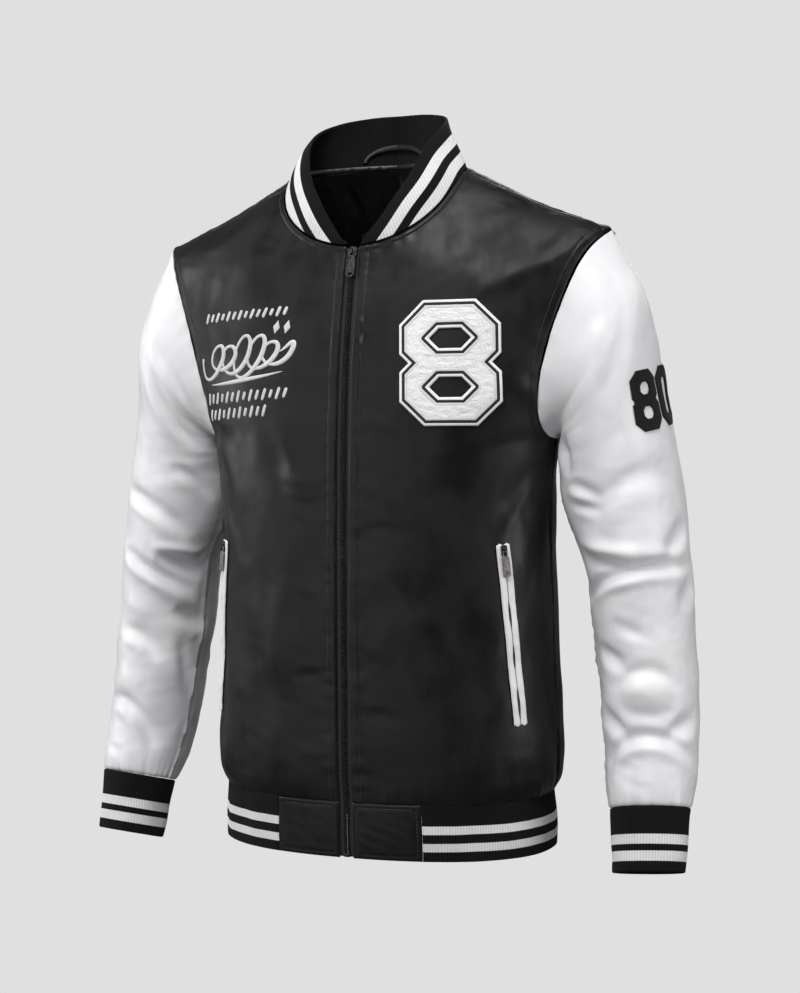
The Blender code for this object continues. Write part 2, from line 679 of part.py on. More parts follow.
def cut_out(outline, holes, cell=None):
    """A flat mesh of an outline with holes, cut by lines a cell apart so that it can bend."""
    flat = bmesh.new()
    for ring in [outline, *holes]:
        points = [flat.verts.new((x, y, 0)) for x, y in ring]
        for i in range(len(points)):
            flat.edges.new((points[i - 1], points[i]))
    bmesh.ops.triangle_fill(flat, edges=flat.edges, use_beauty=True)
    if cell:
        for axis in (0, 1):
            reach = max(abs(p[axis]) for p in outline)
            count = int(reach / cell)
            for i in range(-count, count + 1):
                normal = Vector((0, 0, 0))
                normal[axis] = 1
                place = normal * (i * cell)
                everything = [*flat.verts, *flat.edges, *flat.faces]
                bmesh.ops.bisect_plane(flat, geom=everything, dist=1e-6, plane_co=place, plane_no=normal)
    return flat


def thick_piece(name, flat, front, back, material_name):
    """A solid from a flat mesh: front and back say where a flat point lies on each side of it."""
    flat.verts.ensure_lookup_table()
    flat.verts.index_update()
    count = len(flat.verts)
    points = [front(v.co) for v in flat.verts] + [back(v.co) for v in flat.verts]
    faces = []
    for face in flat.faces:
        ring = [v.index for v in face.verts]
        faces.append(ring)
        faces.append([count + i for i in reversed(ring)])
    for edge in flat.edges:
        if len(edge.link_faces) == 1:
            a, b = (v.index for v in edge.verts)
            faces.append([a, b, count + b, count + a])
    flat.free()
    return add_object(name, mesh_of(name, np.array(points, float), faces), material_name)


def tree_of(obj):
    mesh = obj.data
    mesh.calc_loop_triangles()
    points = [v.co.copy() for v in mesh.vertices]
    return BVHTree.FromPolygons(points, [tuple(t.vertices) for t in mesh.loop_triangles])


class Ground:
    """The outer side of a panel as seen along one direction, for laying flat pieces on it."""

    def __init__(self, obj, centre, outwards, upwards):
        self.tree = tree_of(obj)
        self.out = Vector(outwards).normalized()
        self.across = Vector(upwards).cross(self.out).normalized()
        self.up = self.out.cross(self.across)
        self.centre = Vector(centre)

    def at(self, x, y, lift):
        start = self.centre + self.across * x + self.up * y + self.out * 0.3
        hit = self.tree.ray_cast(start, -self.out)[0]
        return hit + self.out * lift

    def lay(self, lift):
        return lambda flat: self.at(flat.x, flat.y, lift)

    def frame(self, y_top, y_foot, lift):
        """A frame on the panel, with its Z along the line from foot to top and its -Y away from the cloth."""
        top, foot = self.at(0, y_top, 0), self.at(0, y_foot, 0)
        up = (top - foot).normalized()
        out = (self.out - up * self.out.dot(up)).normalized()
        across = up.cross(-out) * -1
        matrix = Matrix((across, -out, up)).transposed().to_4x4()
        matrix.translation = self.at(0, (y_top + y_foot) / 2, 0) + out * lift
        return matrix


# ---------------------------------------------------------------- sliders and pull tabs
CROSSBAR = 0.00075
BAR_OUT = 0.00115
BRIDGE_WIDTH = 0.0018
BRIDGE_REACH = 0.0031
BRIDGE_INSIDE = 0.0019
BRIDGE_OUT = 0.0032
BRIDGE_THICK = 0.0010
ARM = 0.0011
ARM_OUT = 0.0013
PLATE_START = 0.0042
PLATE_THICK = 0.0014
PLATE_CORNER = 0.28
ARM_OVERLAP = 0.0008
BRIDGE_ROOT = 0.0004
BRIDGE_CUT = 0.0009
SLIDER_CORNER = 0.2
FRONT_SLIDER = {"width": 0.0088, "above": 0.0052, "below": 0.0052, "thick": 0.0028}
POCKET_SLIDER = {"width": 0.0062, "above": 0.0062, "below": 0.0050, "thick": 0.0012}
FRONT_PULL = {"width": 0.0092, "length": 0.0262}
POCKET_PULL = {"width": 0.0078, "length": 0.0245}
FRONT_SLOT = {"width": 0.0050, "height": 0.0022, "corner": 0.0008, "centre": (0, -0.0225)}
POCKET_HOLE = {"radius": 0.0016, "centre": (0, -0.0212)}
SLIDER_UP = 0.5825
SLIDER_PROUD = 0.0008
SLOPE_ABOVE = 0.002
SLOPE_BELOW = 0.03


def box_into(shape, low, high):
    made = bmesh.ops.create_cube(shape, size=1.0)["verts"]
    low, high = Vector(low), Vector(high)
    for v in made:
        v.co = Vector(low[k] + (v.co[k] + 0.5) * (high[k] - low[k]) for k in range(3))


def finish_metal(name, shape, matrix, material_name):
    """Joins a shape's overlapping blocks into one body, and places it."""
    mesh = bpy.data.meshes.new(name)
    bmesh.ops.transform(shape, matrix=matrix, verts=shape.verts)
    shape.to_mesh(mesh)
    shape.free()
    return add_object(name, mesh, material_name)


def block(shape, outline, depth_a, depth_b):
    """An outline in the XZ plane made solid between two depths along Y."""
    near = [shape.verts.new((x, depth_a, z)) for x, z in outline]
    far = [shape.verts.new((x, depth_b, z)) for x, z in outline]
    shape.faces.new(near)
    shape.faces.new(far[::-1])
    for i in range(len(near)):
        shape.faces.new((near[i - 1], far[i - 1], far[i], near[i]))


def slider(name, matrix, width, above, below, thick):
    """A slider with its bridge. The frame's origin is the tab's turning point, and -Y is out of the cloth."""
    face = BAR_OUT
    shape = bmesh.new()
    outline = chamfered(width, above + below, width * SLIDER_CORNER, (0, (above - below) / 2))
    block(shape, outline, face, face + thick)
    bmesh.ops.recalc_face_normals(shape, faces=shape.faces)
    body = finish_metal(name, shape, Matrix(), "dark_metal")
    bridge = bmesh.new()
    inner, outer = BRIDGE_INSIDE, BRIDGE_REACH
    bar_top = -(BRIDGE_OUT - BAR_OUT)
    under = bar_top + BRIDGE_THICK
    low = face + BRIDGE_ROOT
    side_view = [
        (low, -outer),
        (bar_top + BRIDGE_CUT, -outer),
        (bar_top, -outer + BRIDGE_CUT),
        (bar_top, outer - BRIDGE_CUT),
        (bar_top + BRIDGE_CUT, outer),
        (low, outer),
        (low, inner),
        (under, inner),
        (under, -inner),
        (low, -inner),
    ]
    half = BRIDGE_WIDTH / 2
    left = [bridge.verts.new((-half, y, z)) for y, z in side_view]
    right = [bridge.verts.new((half, y, z)) for y, z in side_view]
    bridge.faces.new(left)
    bridge.faces.new(right[::-1])
    for i in range(len(left)):
        bridge.faces.new((left[i - 1], right[i - 1], right[i], left[i]))
    bmesh.ops.recalc_face_normals(bridge, faces=bridge.faces)
    union(body, finish_metal(name + "_bridge", bridge, Matrix(), "dark_metal"))
    body.data.transform(matrix)
    return body


def union(body, other):
    """Joins another object into a body, and removes it."""
    for made in (body, other):
        made.location.z = 0
    joined = body.modifiers.new("join", "BOOLEAN")
    joined.operation = "UNION"
    joined.object = other
    result = bpy.data.meshes.new_from_object(body.evaluated_get(bpy.context.evaluated_depsgraph_get()))
    body.modifiers.clear()
    body.data = result
    bpy.data.objects.remove(other)
    body.location.z = -HOLD_HEIGHT


def pull_tab(name, matrix, width, length, hole, material_name):
    """A pull tab on its crossbar: two arms past the bridge, then a plate with a hole near its end."""
    half = PLATE_THICK / 2
    outline = chamfered(width, length - PLATE_START, width * PLATE_CORNER, (0, -(length + PLATE_START) / 2))
    flat = cut_out(outline, [hole])
    body = thick_piece(
        name, flat, lambda p: Vector((p.x, -half, p.y)), lambda p: Vector((p.x, half, p.y)), material_name
    )
    eye = bmesh.new()
    reach = ARM_OUT + ARM
    for sign in (-1, 1):
        low, high = sorted((sign * ARM_OUT, sign * reach))
        box_into(eye, (low, -half, -PLATE_START - ARM_OVERLAP), (high, half, 0))
    arms = finish_metal(name + "_arms", eye, Matrix(), material_name)
    union(body, arms)
    bar = bmesh.new()
    made = bmesh.ops.create_cone(
        bar, cap_ends=True, segments=12, radius1=CROSSBAR, radius2=CROSSBAR, depth=2 * reach
    )["verts"]
    bmesh.ops.rotate(bar, verts=made, matrix=Matrix.Rotation(math.pi / 2, 3, "Y"))
    crossbar = finish_metal(name + "_bar", bar, Matrix(), material_name)
    union(body, crossbar)
    # The tab's own origin stays on its crossbar, the line that it turns about.
    body.matrix_world = Matrix.Translation((0, 0, -HOLD_HEIGHT)) @ matrix
    return body


rise_up, rise_down = SLIDER_UP + SLOPE_ABOVE, SLIDER_UP - SLOPE_BELOW
slope = Vector((0, float(front_depth(rise_down) - front_depth(rise_up)), rise_up - rise_down)).normalized()
across = Vector((1, 0, 0))
front_frame = Matrix((across, slope.cross(across), slope)).transposed().to_4x4()
front_frame.translation = Vector((0, -float(front_depth(SLIDER_UP)) - SLIDER_PROUD - BAR_OUT, SLIDER_UP))
slider("front_slider", front_frame, **FRONT_SLIDER)
pull_tab("front_pull", front_frame, **FRONT_PULL, hole=chamfered(**FRONT_SLOT), material_name="dark_metal")


# ---------------------------------------------------------------- pockets
for side_name, side in SIDES:
    top = Vector((side * POCKET_TOP[0], 0, POCKET_TOP[1]))
    foot = Vector((side * POCKET_FOOT[0], 0, POCKET_FOOT[1]))
    length = (top - foot).length
    outwards = Vector((side * POCKET_OUT[0], POCKET_OUT[1], 0.0))
    ground = Ground(fronts[side], (0, 0, 0), outwards, top - foot)
    middle = (top + foot) / 2
    ground.centre = ground.tree.ray_cast(Vector((middle.x, -AIM_FROM, middle.z)), Vector((0, 1, 0)))[0]
    half_slit = POCKET_SLIT / 2
    for lip_name, sign in (("front", -side), ("rear", side)):
        centre = sign * (half_slit + LIP_WIDTH / 2)
        flat = cut_out(chamfered(LIP_WIDTH, length, LIP_CORNER, (centre, 0)), [], LIP_CELL)
        name = f"pocket_lip_{lip_name}_{side_name}"
        thick_piece(name, flat, ground.lay(LAY_GAP + LIP_THICK), ground.lay(LAY_GAP), "white_leather")
    flat = cut_out(chamfered(POCKET_SLIT - 2 * SEAM_GAP, length - ZIP_SHORTER, ZIP_CORNER), [], LIP_CELL)
    front, back = ground.lay(LAY_GAP + ZIP_THICK), ground.lay(LAY_GAP)
    thick_piece("pocket_zip_" + side_name, flat, front, back, "zip_tape")
    high = length / 2 - SLIDER_BELOW_TOP
    slider_lift = LAY_GAP + LIP_THICK + SLIDER_CLEAR + POCKET_SLIDER["thick"] + BAR_OUT
    frame = ground.frame(high + TAB_FROM, high - TAB_TO, 0)
    frame.translation = ground.at(0, high, 0) - frame.col[1].to_3d() * slider_lift
    slider("pocket_slider_" + side_name, frame, **POCKET_SLIDER)
    hole = circle(**POCKET_HOLE)
    pull_tab("pocket_pull_" + side_name, frame, **POCKET_PULL, hole=hole, material_name="steel")


# ---------------------------------------------------------------- chest patch and sleeve number
def block_eight(width, height, stroke):
    """A block figure eight: an outline with cut corners and a waist, and its two counters."""
    w, h, cut, waist = width / 2, height / 2, width * EIGHT_CORNER, width * EIGHT_WAIST
    right = [(w - cut, h), (w, h - cut), (w, waist), (w - waist, 0), (w, -waist), (w, cut - h), (w - cut, -h)]
    outline = right + [(-x, -y) for x, y in right]
    inner_w = width - 2 * stroke
    inner_h = (height - 3 * stroke) / 2
    shift = (stroke + inner_h) / 2
    corner = inner_w * COUNTER_CORNER
    return outline, [chamfered(inner_w, inner_h, corner, (0, s * shift)) for s in (-1, 1)]


def block_nought(width, height, stroke):
    corner = width * NOUGHT_CORNER
    inner = chamfered(width - 2 * stroke, height - 2 * stroke, (width - 2 * stroke) * NOUGHT_INNER_CORNER)
    return chamfered(width, height, corner), [inner]


aim = Vector((PATCH_CENTRE[0], -AIM_FROM, PATCH_CENTRE[1]))
patch_hit = tree_of(fronts[1]).ray_cast(aim, Vector((0, 1, 0)))
ground = Ground(fronts[1], patch_hit[0], patch_hit[1], (0, 0, 1))
flat = cut_out(*block_eight(*PATCH_SIZE, PATCH_STROKE), PATCH_CELL)
thick_piece("chest_patch", flat, ground.lay(PATCH_GAP + PATCH_THICK), ground.lay(PATCH_GAP), "white_felt")

# The number wraps round the sleeve: x runs round it, and every point is laid straight in towards its axis.
sleeve_tree = tree_of(sleeves[1])


def wrapped(x_offset, lift):
    def place(flat):
        angle = math.radians(DIGIT_MIDDLE) - (flat.x + x_offset) / WRAP_RADIUS
        top, foot = SLEEVE_AXIS
        middle = top.lerp(foot, (top.z - DIGIT_UP) / (top.z - foot.z))
        centre = middle + (top - foot).normalized() * flat.y
        outwards = Vector((math.cos(angle), -math.sin(angle), 0))
        hit = sleeve_tree.ray_cast(centre + outwards * 0.2, -outwards)[0]
        return hit + outwards * lift

    return place


offset = (DIGIT_SIZE[0] + DIGIT_SPACE) / 2
for name, shape, sign in (("front", block_eight, -1), ("rear", block_nought, 1)):
    flat = cut_out(*shape(*DIGIT_SIZE, DIGIT_STROKE), DIGIT_CELL)
    front = wrapped(sign * offset, DIGIT_GAP + DIGIT_THICK)
    back = wrapped(sign * offset, DIGIT_GAP)
    thick_piece("sleeve_number_" + name, flat, front, back, "black_felt")
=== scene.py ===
"""The looks of a varsity jacket, filled out as if worn: black coated body, white sleeves, striped rib knit.

Metres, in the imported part's frame: the origin is where the wearer's shoulders hold the jacket up, the front
faces -Y and the wearer's left is +X. Heights are worked out above the hem's lower edge, and every mesh is
lowered by HOLD_HEIGHT when it is made.
"""

import math

import bmesh
import bpy
import numpy as np
from mathutils import Matrix, Vector


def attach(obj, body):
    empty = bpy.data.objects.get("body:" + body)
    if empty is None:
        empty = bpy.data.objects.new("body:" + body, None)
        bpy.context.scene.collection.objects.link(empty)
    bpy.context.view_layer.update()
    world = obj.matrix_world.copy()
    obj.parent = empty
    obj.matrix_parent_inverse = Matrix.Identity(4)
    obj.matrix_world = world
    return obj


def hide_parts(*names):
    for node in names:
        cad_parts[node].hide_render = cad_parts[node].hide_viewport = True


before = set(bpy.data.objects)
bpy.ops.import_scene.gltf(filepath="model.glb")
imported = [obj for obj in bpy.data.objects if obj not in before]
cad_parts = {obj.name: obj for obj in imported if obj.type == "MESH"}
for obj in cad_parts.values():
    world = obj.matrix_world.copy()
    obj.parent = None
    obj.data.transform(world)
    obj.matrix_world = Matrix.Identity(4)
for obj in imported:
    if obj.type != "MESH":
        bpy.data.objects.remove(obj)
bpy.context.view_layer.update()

# ---------------------------------------------------------------- fronts
# Two fronts of black coated cloth with a fine leather grain, each cut in one piece from the hem seam to the
# neck and the shoulder. The centre edge is folded back along the zip, and it is topstitched like the armhole,
# the neckline and the shoulder, where the seam allowance underneath makes a low band.
HOLD_HEIGHT = 0.630
SHELL = 0.0013
RIB_TOP = 0.0550
ZIP_HALF_OPENING = 0.0070
SQUARENESS = 2.25
ROUNDING = 1.05
SHOULDER_TOP_DEPTH = 0.104
ARMPIT = 0.400
SHOULDER_TIP = 0.600
ARMHOLE_MIDDLE = (SHOULDER_TIP + ARMPIT) / 2
TIP_HALF_WIDTH = 0.236
ARMHOLE_HALF_ANGLE = {-1: math.radians(29), +1: math.radians(27)}
ARMHOLE_SQUARENESS = 2.4
NECK_HALF_WIDTH = 0.094
NECK_SIDE_UP = 0.664
NECK_FRONT_UP = 0.588
NECK_BACK_UP = 0.675
SEAM_FORWARD = 0.015
FRONT, BACK = -1, +1
SIDES = (("left", +1), ("right", -1))
FLIP = {+1: np.array([1, 1, 1]), -1: np.array([-1, 1, 1])}
PANEL_RADIUS = 0.16
SWELL, CREASE = 0.00050, 0.00022
GROOVE, EDGE_DIP, GROOVE_WIDTH = 0.00030, 0.00040, 0.0012
PUCKER_REACH = 0.007


def columns(names, *rows):
    """A table as a dict of arrays, one for each named column."""
    return dict(zip(names.split(), np.array(rows, float).T))


TORSO = columns(
    "up     half_width  front   back",
    (0.056, 0.1705, 0.1100, 0.1010),
    (0.064, 0.1755, 0.1110, 0.1070),
    (0.085, 0.1795, 0.1125, 0.1110),
    (0.140, 0.1780, 0.1120, 0.1110),
    (0.245, 0.1745, 0.1105, 0.1060),
    (0.335, 0.1740, 0.1080, 0.1080),
    (0.400, 0.1800, 0.1050, 0.1140),
    (0.485, 0.2090, 0.0960, 0.1180),
    (0.550, 0.2290, 0.0830, 0.1130),
    (0.600, 0.2360, 0.0710, 0.1000),
    (0.640, 0.2360, 0.0640, 0.0820),
    (0.700, 0.2360, 0.0590, 0.0480),
)

# Each fold runs from a over m to b, places given as an angle round the piece and a height or a length. A
# negative depth is a trough. The lip is the fold's raised shoulder on its upper side.
FOLD = "round_a up_a round_m up_m round_b up_b half_width depth lip"
FRONT_FOLDS = {
    +1: columns(
        FOLD,
        (86, 0.385, 63, 0.348, 40, 0.300, 0.020, -0.0035, 0.0),
        (74, 0.250, 79, 0.170, 88, 0.080, 0.014, -0.0030, 0.0),
        (60, 0.470, 44, 0.440, 25, 0.400, 0.024, 0.0030, 0.0),
        (82, 0.404, 66, 0.438, 46, 0.456, 0.008, 0.0020, 0.0),
        (84, 0.394, 62, 0.396, 40, 0.376, 0.010, -0.0026, 0.0008),
        (84, 0.376, 68, 0.345, 52, 0.296, 0.009, 0.0018, 0.0),
        (85, 0.350, 77, 0.300, 67, 0.240, 0.010, -0.0018, 0.0),
        (30, 0.534, 43, 0.556, 58, 0.572, 0.009, 0.0020, 0.0),
        (46, 0.648, 40, 0.610, 30, 0.572, 0.012, -0.0016, 0.0008),
        (60, 0.610, 55, 0.588, 44, 0.560, 0.010, -0.0014, 0.0),
        (6, 0.282, 20, 0.244, 35, 0.188, 0.010, 0.0021, 0.0),
        (28, 0.300, 37, 0.230, 45, 0.150, 0.012, -0.0019, 0.0006),
        (16, 0.200, 24, 0.140, 28, 0.080, 0.010, 0.0014, 0.0),
        (50, 0.160, 44, 0.110, 40, 0.066, 0.009, -0.0016, 0.0),
        (4, 0.424, 9, 0.418, 17, 0.402, 0.0050, 0.0010, 0.0),
        (4, 0.362, 9, 0.352, 15, 0.331, 0.0060, 0.0013, 0.0),
        (4, 0.312, 11, 0.318, 18, 0.310, 0.0050, -0.0011, 0.0005),
        (4, 0.206, 9, 0.201, 14, 0.188, 0.0050, 0.0009, 0.0),
        (4, 0.136, 10, 0.140, 17, 0.132, 0.0055, -0.0010, 0.0004),
    ),
    -1: columns(
        FOLD,
        (86, 0.385, 73, 0.335, 60, 0.270, 0.018, -0.0035, 0.0),
        (80, 0.200, 72, 0.145, 62, 0.080, 0.015, -0.0030, 0.0),
        (64, 0.450, 54, 0.395, 40, 0.330, 0.022, 0.0025, 0.0),
        (80, 0.410, 60, 0.410, 42, 0.398, 0.009, -0.0022, 0.0008),
        (70, 0.355, 52, 0.318, 38, 0.262, 0.010, 0.0018, 0.0),
        (30, 0.430, 22, 0.380, 19, 0.320, 0.011, -0.0015, 0.0006),
        (24, 0.630, 36, 0.585, 47, 0.560, 0.012, -0.0014, 0.0006),
        (12, 0.560, 24, 0.520, 36, 0.500, 0.014, 0.0014, 0.0),
        (40, 0.236, 30, 0.180, 26, 0.110, 0.012, -0.0018, 0.0006),
        (14, 0.300, 22, 0.230, 24, 0.160, 0.012, 0.0012, 0.0),
        (4, 0.366, 12, 0.362, 24, 0.372, 0.0055, 0.0013, 0.0),
        (4, 0.344, 10, 0.341, 19, 0.346, 0.0045, -0.0010, 0.0004),
        (4, 0.262, 9, 0.257, 15, 0.262, 0.0050, 0.0009, 0.0),
        (4, 0.172, 10, 0.176, 16, 0.170, 0.0050, -0.0009, 0.0004),
        (4, 0.106, 9, 0.101, 15, 0.108, 0.0050, 0.0009, 0.0),
    ),
}
BACK_FOLDS = columns(
    FOLD,
    (84, 0.390, 66, 0.338, 45, 0.270, 0.022, -0.0035, 0.0),
    (62, 0.480, 54, 0.330, 50, 0.180, 0.026, 0.0030, 0.0),
    (30, 0.260, 37, 0.170, 42, 0.075, 0.020, -0.0030, 0.0),
    (82, 0.408, 60, 0.420, 36, 0.400, 0.010, -0.0024, 0.0008),
    (84, 0.372, 70, 0.320, 60, 0.250, 0.009, 0.0018, 0.0),
    (74, 0.230, 66, 0.160, 58, 0.090, 0.011, -0.0018, 0.0006),
    (20, 0.520, 34, 0.500, 52, 0.512, 0.014, -0.0016, 0.0006),
    (12, 0.360, 22, 0.300, 20, 0.220, 0.012, 0.0014, 0.0),
)


def smooth(share):
    """0 below 0 and 1 above 1, with level ends between."""
    share = np.clip(share, 0, 1)
    return share * share * (3 - 2 * share)


def bell(x, width):
    """1 at 0, falling away on both sides over the width."""
    return np.exp(-((x / width) ** 2))


def unit(vectors):
    """The same directions, each of length 1."""
    return vectors / np.maximum(np.linalg.norm(vectors, axis=-1, keepdims=True), 1e-12)


def cubic(start, end, start_slope, end_slope, span, t):
    """The curve from one row to the next with those slopes, at a share t of the span between them."""
    near, far = (1 - t) ** 2, t * t
    return (
        start * (1 + 2 * t) * near
        + end * (3 - 2 * t) * far
        + start_slope * span * t * near
        - end_slope * span * (1 - t) * far
    )


def spline(knots, values, at):
    """A smooth curve through the rows: cubic pieces whose slopes are those of the neighbouring rows."""
    slopes = np.gradient(values, knots, axis=0)
    at = np.clip(at, knots[0], knots[-1])
    i = np.clip(np.searchsorted(knots, at) - 1, 0, len(knots) - 2)
    span = knots[i + 1] - knots[i]
    t = (at - knots[i]) / span
    if np.ndim(at) and values.ndim > 1:
        t, span = t[:, None], span[:, None]
    return cubic(values[i], values[i + 1], slopes[i], slopes[i + 1], span, t)


def column(table, name, at):
    """A column of a table at any height."""
    return spline(table["up"], table[name], at)


def rows_of(table):
    """A table's rows, each as a dict."""
    return [dict(zip(table, values)) for values in zip(*table.values())]


def lengths_along(points):
    """How far each point of a line lies along it."""
    steps = np.linalg.norm(np.diff(points, axis=0), axis=1)
    return np.concatenate([[0], np.cumsum(steps)])


def share_along(points):
    """How far each point of a line lies along it, as a share of its length."""
    length = lengths_along(points)
    return length / length[-1]


def places_at(at, knots, line):
    """Places between the points of a line, which lie at the knots."""
    return np.stack([np.interp(at, knots, values) for values in line.T], axis=1)


def fold_height(folds, degrees, up, radius):
    """Height added by folds. Each follows the parabola through its three places; across it is a bell of its
    half width, with the lip a half width and a half higher up, and along it the height is half a sine."""
    degrees, up = np.broadcast_arrays(degrees, up)
    total = np.zeros(degrees.shape)
    metres = radius * math.pi / 180
    across = degrees * metres
    t = np.linspace(0, 1, 61)
    for i in range(len(folds["depth"])):
        a, m, b = (np.array([folds["round_" + k][i] * metres, folds["up_" + k][i]]) for k in "amb")
        control = 2 * m - (a + b) / 2
        line = np.outer((1 - t) ** 2, a) + np.outer(2 * t * (1 - t), control) + np.outer(t * t, b)
        tangent = np.gradient(line, t, axis=0)
        speed = np.linalg.norm(tangent, axis=1)
        width = folds["half_width"][i]
        reach = 4 * width
        near = (
            (across > line[:, 0].min() - reach)
            & (across < line[:, 0].max() + reach)
            & (up > line[:, 1].min() - reach)
            & (up < line[:, 1].max() + reach)
        )
        px, py = across[near], up[near]
        best = np.argmin((px[:, None] - line[:, 0]) ** 2 + (py[:, None] - line[:, 1]) ** 2, axis=1)
        dx, dy = px - line[best, 0], py - line[best, 1]
        tx, ty = tangent[best, 0] / speed[best], tangent[best, 1] / speed[best]
        along = t[best] + (dx * tx + dy * ty) / speed[best]
        off = dx * ty - dy * tx
        upper = off * np.sign(m[0] - a[0] + 1e-9) * -1
        fade = np.sin(math.pi * np.clip(along, 0, 1))
        crest = folds["depth"][i] * bell(off, width)
        lip = folds["lip"][i] * bell(upper - 1.5 * width, width)
        total[near] += fade * (crest + lip)
    return total


def ripple(u, v, seed, shortest, longest, count=14):
    """An uneven swell of waves with seeded lengths, headings and starts, between about -1 and 1."""
    draw = np.random.default_rng(seed)
    total = 0
    for _ in range(count):
        number = 2 * math.pi / draw.uniform(shortest, longest)
        heading = draw.uniform(0, math.pi)
        start = draw.uniform(0, 2 * math.pi)
        total = total + np.sin(number * (u * math.cos(heading) + v * math.sin(heading)) + start)
    return total / math.sqrt(count)


def ridge_up(x):
    """The height of the shoulder's ridge at x, a nearly straight slope from the neck to the tip."""
    t = (np.clip(x, 0, TIP_HALF_WIDTH) - NECK_HALF_WIDTH) / (TIP_HALF_WIDTH - NECK_HALF_WIDTH)
    return NECK_SIDE_UP + (SHOULDER_TIP - NECK_SIDE_UP) * t - 0.004 * np.clip(4 * t * (1 - t), 0, 1) ** 2


def roundness(x):
    """The torso's depth at x, as a share of its depth at the centre."""
    share = np.clip(x / TIP_HALF_WIDTH, 0, 1) ** SQUARENESS
    return (1 - share) ** (1 / SQUARENESS)


def rounding_height(x):
    """How far below the ridge the cloth starts to turn over the shoulder."""
    return np.maximum(ROUNDING * SHOULDER_TOP_DEPTH * roundness(x), 1e-4)


def armhole_share(cloth_up):
    """How far a height lies from the armhole's middle, as a share of half the armhole."""
    return np.clip(np.abs(cloth_up - ARMHOLE_MIDDLE) / (SHOULDER_TIP - ARMHOLE_MIDDLE), 0, 1)


def edge_angle(cloth_up, face):
    """The angle at which the panel ends: the side seam, cut back round the armhole."""
    cut = (1 - armhole_share(cloth_up) ** ARMHOLE_SQUARENESS) ** (1 / ARMHOLE_SQUARENESS)
    return math.pi / 2 - ARMHOLE_HALF_ANGLE[face] * cut


def torso_form(angle, cloth_up, face):
    """The smooth torso on the wearer's left. The angle is 0 at the centre line and a right angle at the side;
    each ring is a squared ellipse, and above the turn the cloth goes over the shoulder's ridge in an arc."""
    x = column(TORSO, "half_width", cloth_up) * np.sin(angle) ** (2 / SQUARENESS)
    ridge, drop = ridge_up(x), rounding_height(x)
    turn = np.clip((cloth_up - (ridge - drop)) / drop, 0, math.pi)
    up = np.where(turn > 0, ridge - drop + drop * np.sin(turn), cloth_up)
    over = turn > math.pi / 2
    near = {FRONT: column(TORSO, "front", up), BACK: column(TORSO, "back", up)}
    depth = np.where(over, near[-face], near[face])
    ring = np.cos(angle) ** (2 / SQUARENESS)
    # Over the turn the depth follows the ring at that x, and the two are mixed where the turn starts.
    mixed = ring + (roundness(x) - ring) * smooth(turn / 0.5)
    return np.stack([x, face * depth * mixed * np.cos(turn), up], axis=-1)


def normal_between(form, u, v, step_u, step_v):
    """The unit normal of a surface, from the cross product of its differences along both parameters."""
    along_u = form(u + step_u, v) - form(u - step_u, v)
    along_v = form(u, v + step_v) - form(u, v - step_v)
    return unit(np.cross(along_u, along_v))


def torso(angle, cloth_up, face, side):
    """The torso with its folds and a slight swell, and the normals that point out of it."""
    inside = np.clip(angle, 0.02, math.pi / 2 - 0.02)
    out = normal_between(lambda a, h: torso_form(a, h, face), inside, cloth_up, 0.004, 0.0006)
    if face == BACK:
        out = -out
    table = BACK_FOLDS if face == BACK else FRONT_FOLDS[side]
    u, v = angle * PANEL_RADIUS, cloth_up
    seed = {FRONT: 3, BACK: 7}[face] + (side > 0)
    height = fold_height(table, np.degrees(angle), cloth_up, PANEL_RADIUS)
    height = height + SWELL * ripple(u, v, seed, 0.045, 0.110)
    height = height - CREASE * np.sqrt(ripple(u, v, seed + 20, 0.018, 0.060) ** 2 + 0.05)
    points = torso_form(angle, cloth_up, face) + out * height[..., None]
    return points * FLIP[side], out * FLIP[side]


def centre_angle(cloth_up, x):
    """The angle at which the torso is x from the centre plane."""
    return np.arcsin((x / column(TORSO, "half_width", cloth_up)) ** (SQUARENESS / 2))


def across_angle(across, cloth_up, start_x, face):
    """The angle at a share of the way from the panel's centre line to its edge. Only the outermost shares
    follow the armhole's sharp ends; the others follow a softer cut, so that the cloth's rows stay smooth."""
    start = centre_angle(cloth_up, start_x) if start_x else 0.0
    share = armhole_share(cloth_up)
    soft = math.pi / 2 - ARMHOLE_HALF_ANGLE[face] * (1 - share**2) ** 2 * (1 + share**2)
    edge = edge_angle(cloth_up, face)
    return start + (soft - start) * across - (soft - edge) * across**5


def panel_end(across, start_x, face):
    """The height along the cloth at which each column of a panel ends: the neck curve, then the seam."""
    end = np.full_like(across, SHOULDER_TIP)
    for _ in range(6):
        angle = across_angle(across, end, start_x, face)
        x = column(TORSO, "half_width", end) * np.sin(angle) ** (2 / SQUARENESS)
        ridge, drop = ridge_up(x), rounding_height(x)
        share = np.clip((x - NECK_HALF_WIDTH) / (TIP_HALF_WIDTH - NECK_HALF_WIDTH), 0, 1)
        depth = column(TORSO, "front", ridge) * roundness(x)
        lean = np.arccos(np.clip(SEAM_FORWARD * (1 - share) / np.maximum(depth, 1e-4), 0, 1))
        seam = ridge - drop + drop * (lean if face == FRONT else math.pi - lean)
        scoop = np.sqrt(np.clip(1 - (x / NECK_HALF_WIDTH) ** 2, 0, 1))
        lowest = NECK_FRONT_UP if face == FRONT else NECK_BACK_UP
        neck = NECK_SIDE_UP + (lowest - NECK_SIDE_UP) * scoop
        rise = np.clip((neck - (ridge - drop)) / drop, -9, 1)
        turned = ridge - drop + drop * np.arcsin(np.clip(rise, 0, 1))
        neck = np.where(rise > 0, turned, neck)
        # In front of the shoulder seam the neckline is the front's, behind it the back's.
        neck = np.minimum(neck, seam) if face == FRONT else neck
        end = np.where(x < NECK_HALF_WIDTH, neck, seam)
    return end


